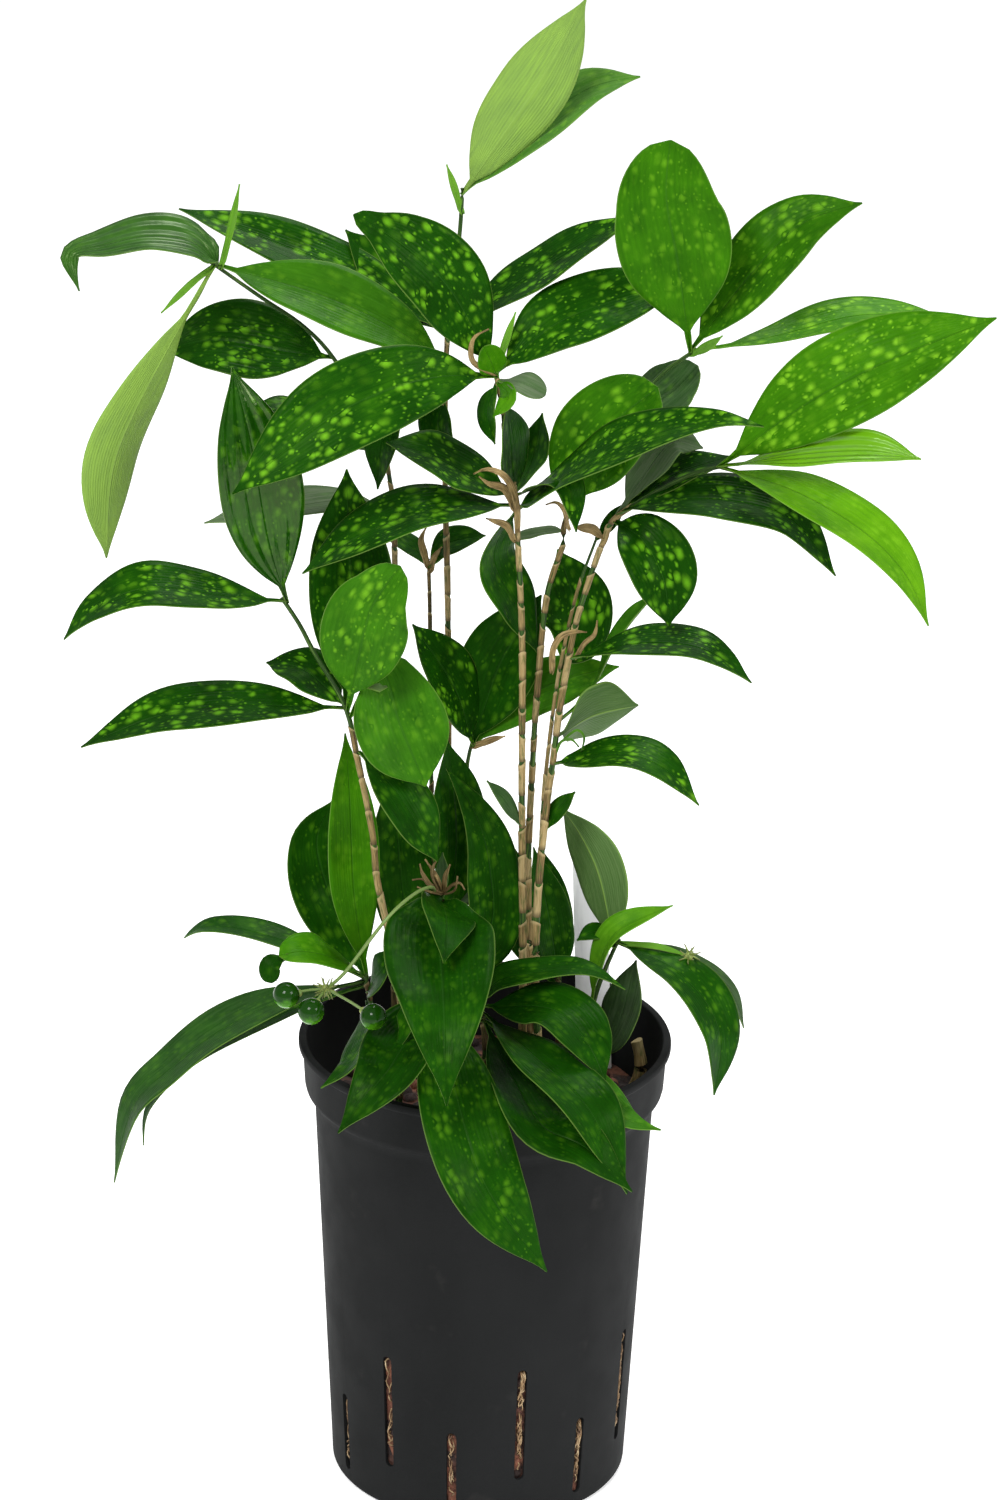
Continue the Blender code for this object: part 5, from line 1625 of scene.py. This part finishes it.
class PLANT_OT_stub(bpy.types.Operator):
    """Make the cut stub of an old cane"""

    bl_idname = "plant.make_stub"
    bl_label = "Old Stub"

    def execute(self, context):
        bm = bmesh.new()
        path = [sight(*point) for point in STUB_PATH]
        foot = Vector((path[0].x, path[0].y, SOIL_TOP - ROOTED + 0.5))
        trace = Trace([foot] + path)

        def radius(share):
            return STUB_RADIUS * (0.94 + 0.05 * math.sin(share * 26) + 0.05 * math.sin(share * 11))

        add_tube(bm, trace, 0, trace.length, radius, 24, 14, (0.3, 0.4, 0, 1), 1.0, 1.0)
        new_piece("old_stub", bm, [sheath_skin()], ["cane_stub"], 50)
        return {"FINISHED"}


class PLANT_OT_stage(bpy.types.Operator):
    """Make the floor, the lights and the camera"""

    bl_idname = "plant.make_stage"
    bl_label = "Stage"

    def execute(self, context):
        bm = bmesh.new()
        bmesh.ops.create_grid(bm, x_segments=1, y_segments=1, size=12.0)
        mesh = bpy.data.meshes.new("floor")
        bm.to_mesh(mesh)
        bm.free()
        nodes = Nodes("floor_paint")
        where = nodes.add("ShaderNodeTexCoord", "Object")
        shade = nodes.noise(where, 40.0, 3.0)
        colour = context.scene.plant_colours.floor
        nodes.shade(Base_Color=(*colour, 1.0), Roughness=nodes.spread(shade, 0.3, 0.7, 0.8, 0.9))
        nodes.shade(Emission_Color=(*colour, 1.0), Emission_Strength=FLOOR_GLOW)
        mesh.materials.append(nodes.material)
        floor = bpy.data.objects.new("floor", mesh)
        context.scene.collection.objects.link(floor)

        world = bpy.data.worlds.new("studio")
        world.use_nodes = True
        sky = world.node_tree.nodes["Background"]
        sky.inputs["Color"].default_value = (1.0, 1.0, 1.0, 1.0)
        sky.inputs["Strength"].default_value = 0.55
        context.scene.world = world
        for name, place, size, power in (
            ("key_light", (-0.7, -1.45, 1.8), 0.7, 34.0),
            ("fill_light", (1.5, -1.0, 1.3), 0.7, 17.0),
            ("top_light", (0.3, 0.9, 1.9), 0.8, 18.0),
        ):
            light = bpy.data.lights.new(name, "AREA")
            light.size = size
            light.energy = power
            lamp = bpy.data.objects.new(name, light)
            lamp.location = place
            lamp.rotation_euler = (Vector((0.0, 0.0, 0.32)) - Vector(place)).to_track_quat("-Z", "Y").to_euler()
            context.scene.collection.objects.link(lamp)

        lens = bpy.data.cameras.new("camera")
        lens.sensor_width = CAMERA_SENSOR
        lens.lens = CAMERA_LENS
        camera = bpy.data.objects.new("camera", lens)
        context.scene.collection.objects.link(camera)
        camera.matrix_world = (
            Matrix.Translation(VIEWPOINT * MM)
            @ Matrix.Rotation(math.radians(90 - CAMERA_PITCH), 4, "X")
            @ Matrix.Rotation(math.radians(CAMERA_ROLL), 4, "Z")
        )
        context.scene.camera = camera
        context.scene.view_settings.view_transform = "Standard"
        return {"FINISHED"}


OPERATORS = (
    PLANT_OT_pot,
    PLANT_OT_filling,
    PLANT_OT_roots,
    PLANT_OT_canes,
    PLANT_OT_leaves,
    PLANT_OT_berries,
    PLANT_OT_label,
    PLANT_OT_stub,
    PLANT_OT_stage,
)


class PLANT_PT_panel(bpy.types.Panel):
    """The plant's pieces, sizes and colours in the sidebar"""

    bl_idname = "PLANT_PT_panel"
    bl_label = "Potted Dracaena"
    bl_space_type = "VIEW_3D"
    bl_region_type = "UI"
    bl_category = "Plant"

    def draw(self, context):
        layout = self.layout
        for operator in OPERATORS:
            layout.operator(operator.bl_idname)
        for group in (context.scene.plant_sizes, context.scene.plant_colours):
            for name in group.bl_rna.properties.keys():
                if name not in ("rna_type", "name"):
                    layout.prop(group, name)


CLASSES = (PlantSizes, PlantColours, *OPERATORS, PLANT_PT_panel)


def register():
    for item in CLASSES:
        bpy.utils.register_class(item)
    bpy.types.Scene.plant_sizes = PointerProperty(type=PlantSizes)
    bpy.types.Scene.plant_colours = PointerProperty(type=PlantColours)


def unregister():
    del bpy.types.Scene.plant_colours
    del bpy.types.Scene.plant_sizes
    for item in reversed(CLASSES):
        bpy.utils.unregister_class(item)


def main():
    register()
    for operator in OPERATORS:
        group, name = operator.bl_idname.split(".")
        getattr(getattr(bpy.ops, group), name)()
    for mesh in [item for item in bpy.data.meshes if item.name.startswith("unit_tube")]:
        bpy.data.meshes.remove(mesh)
    bpy.context.view_layer.update()


if __name__ == "__main__":
    main()
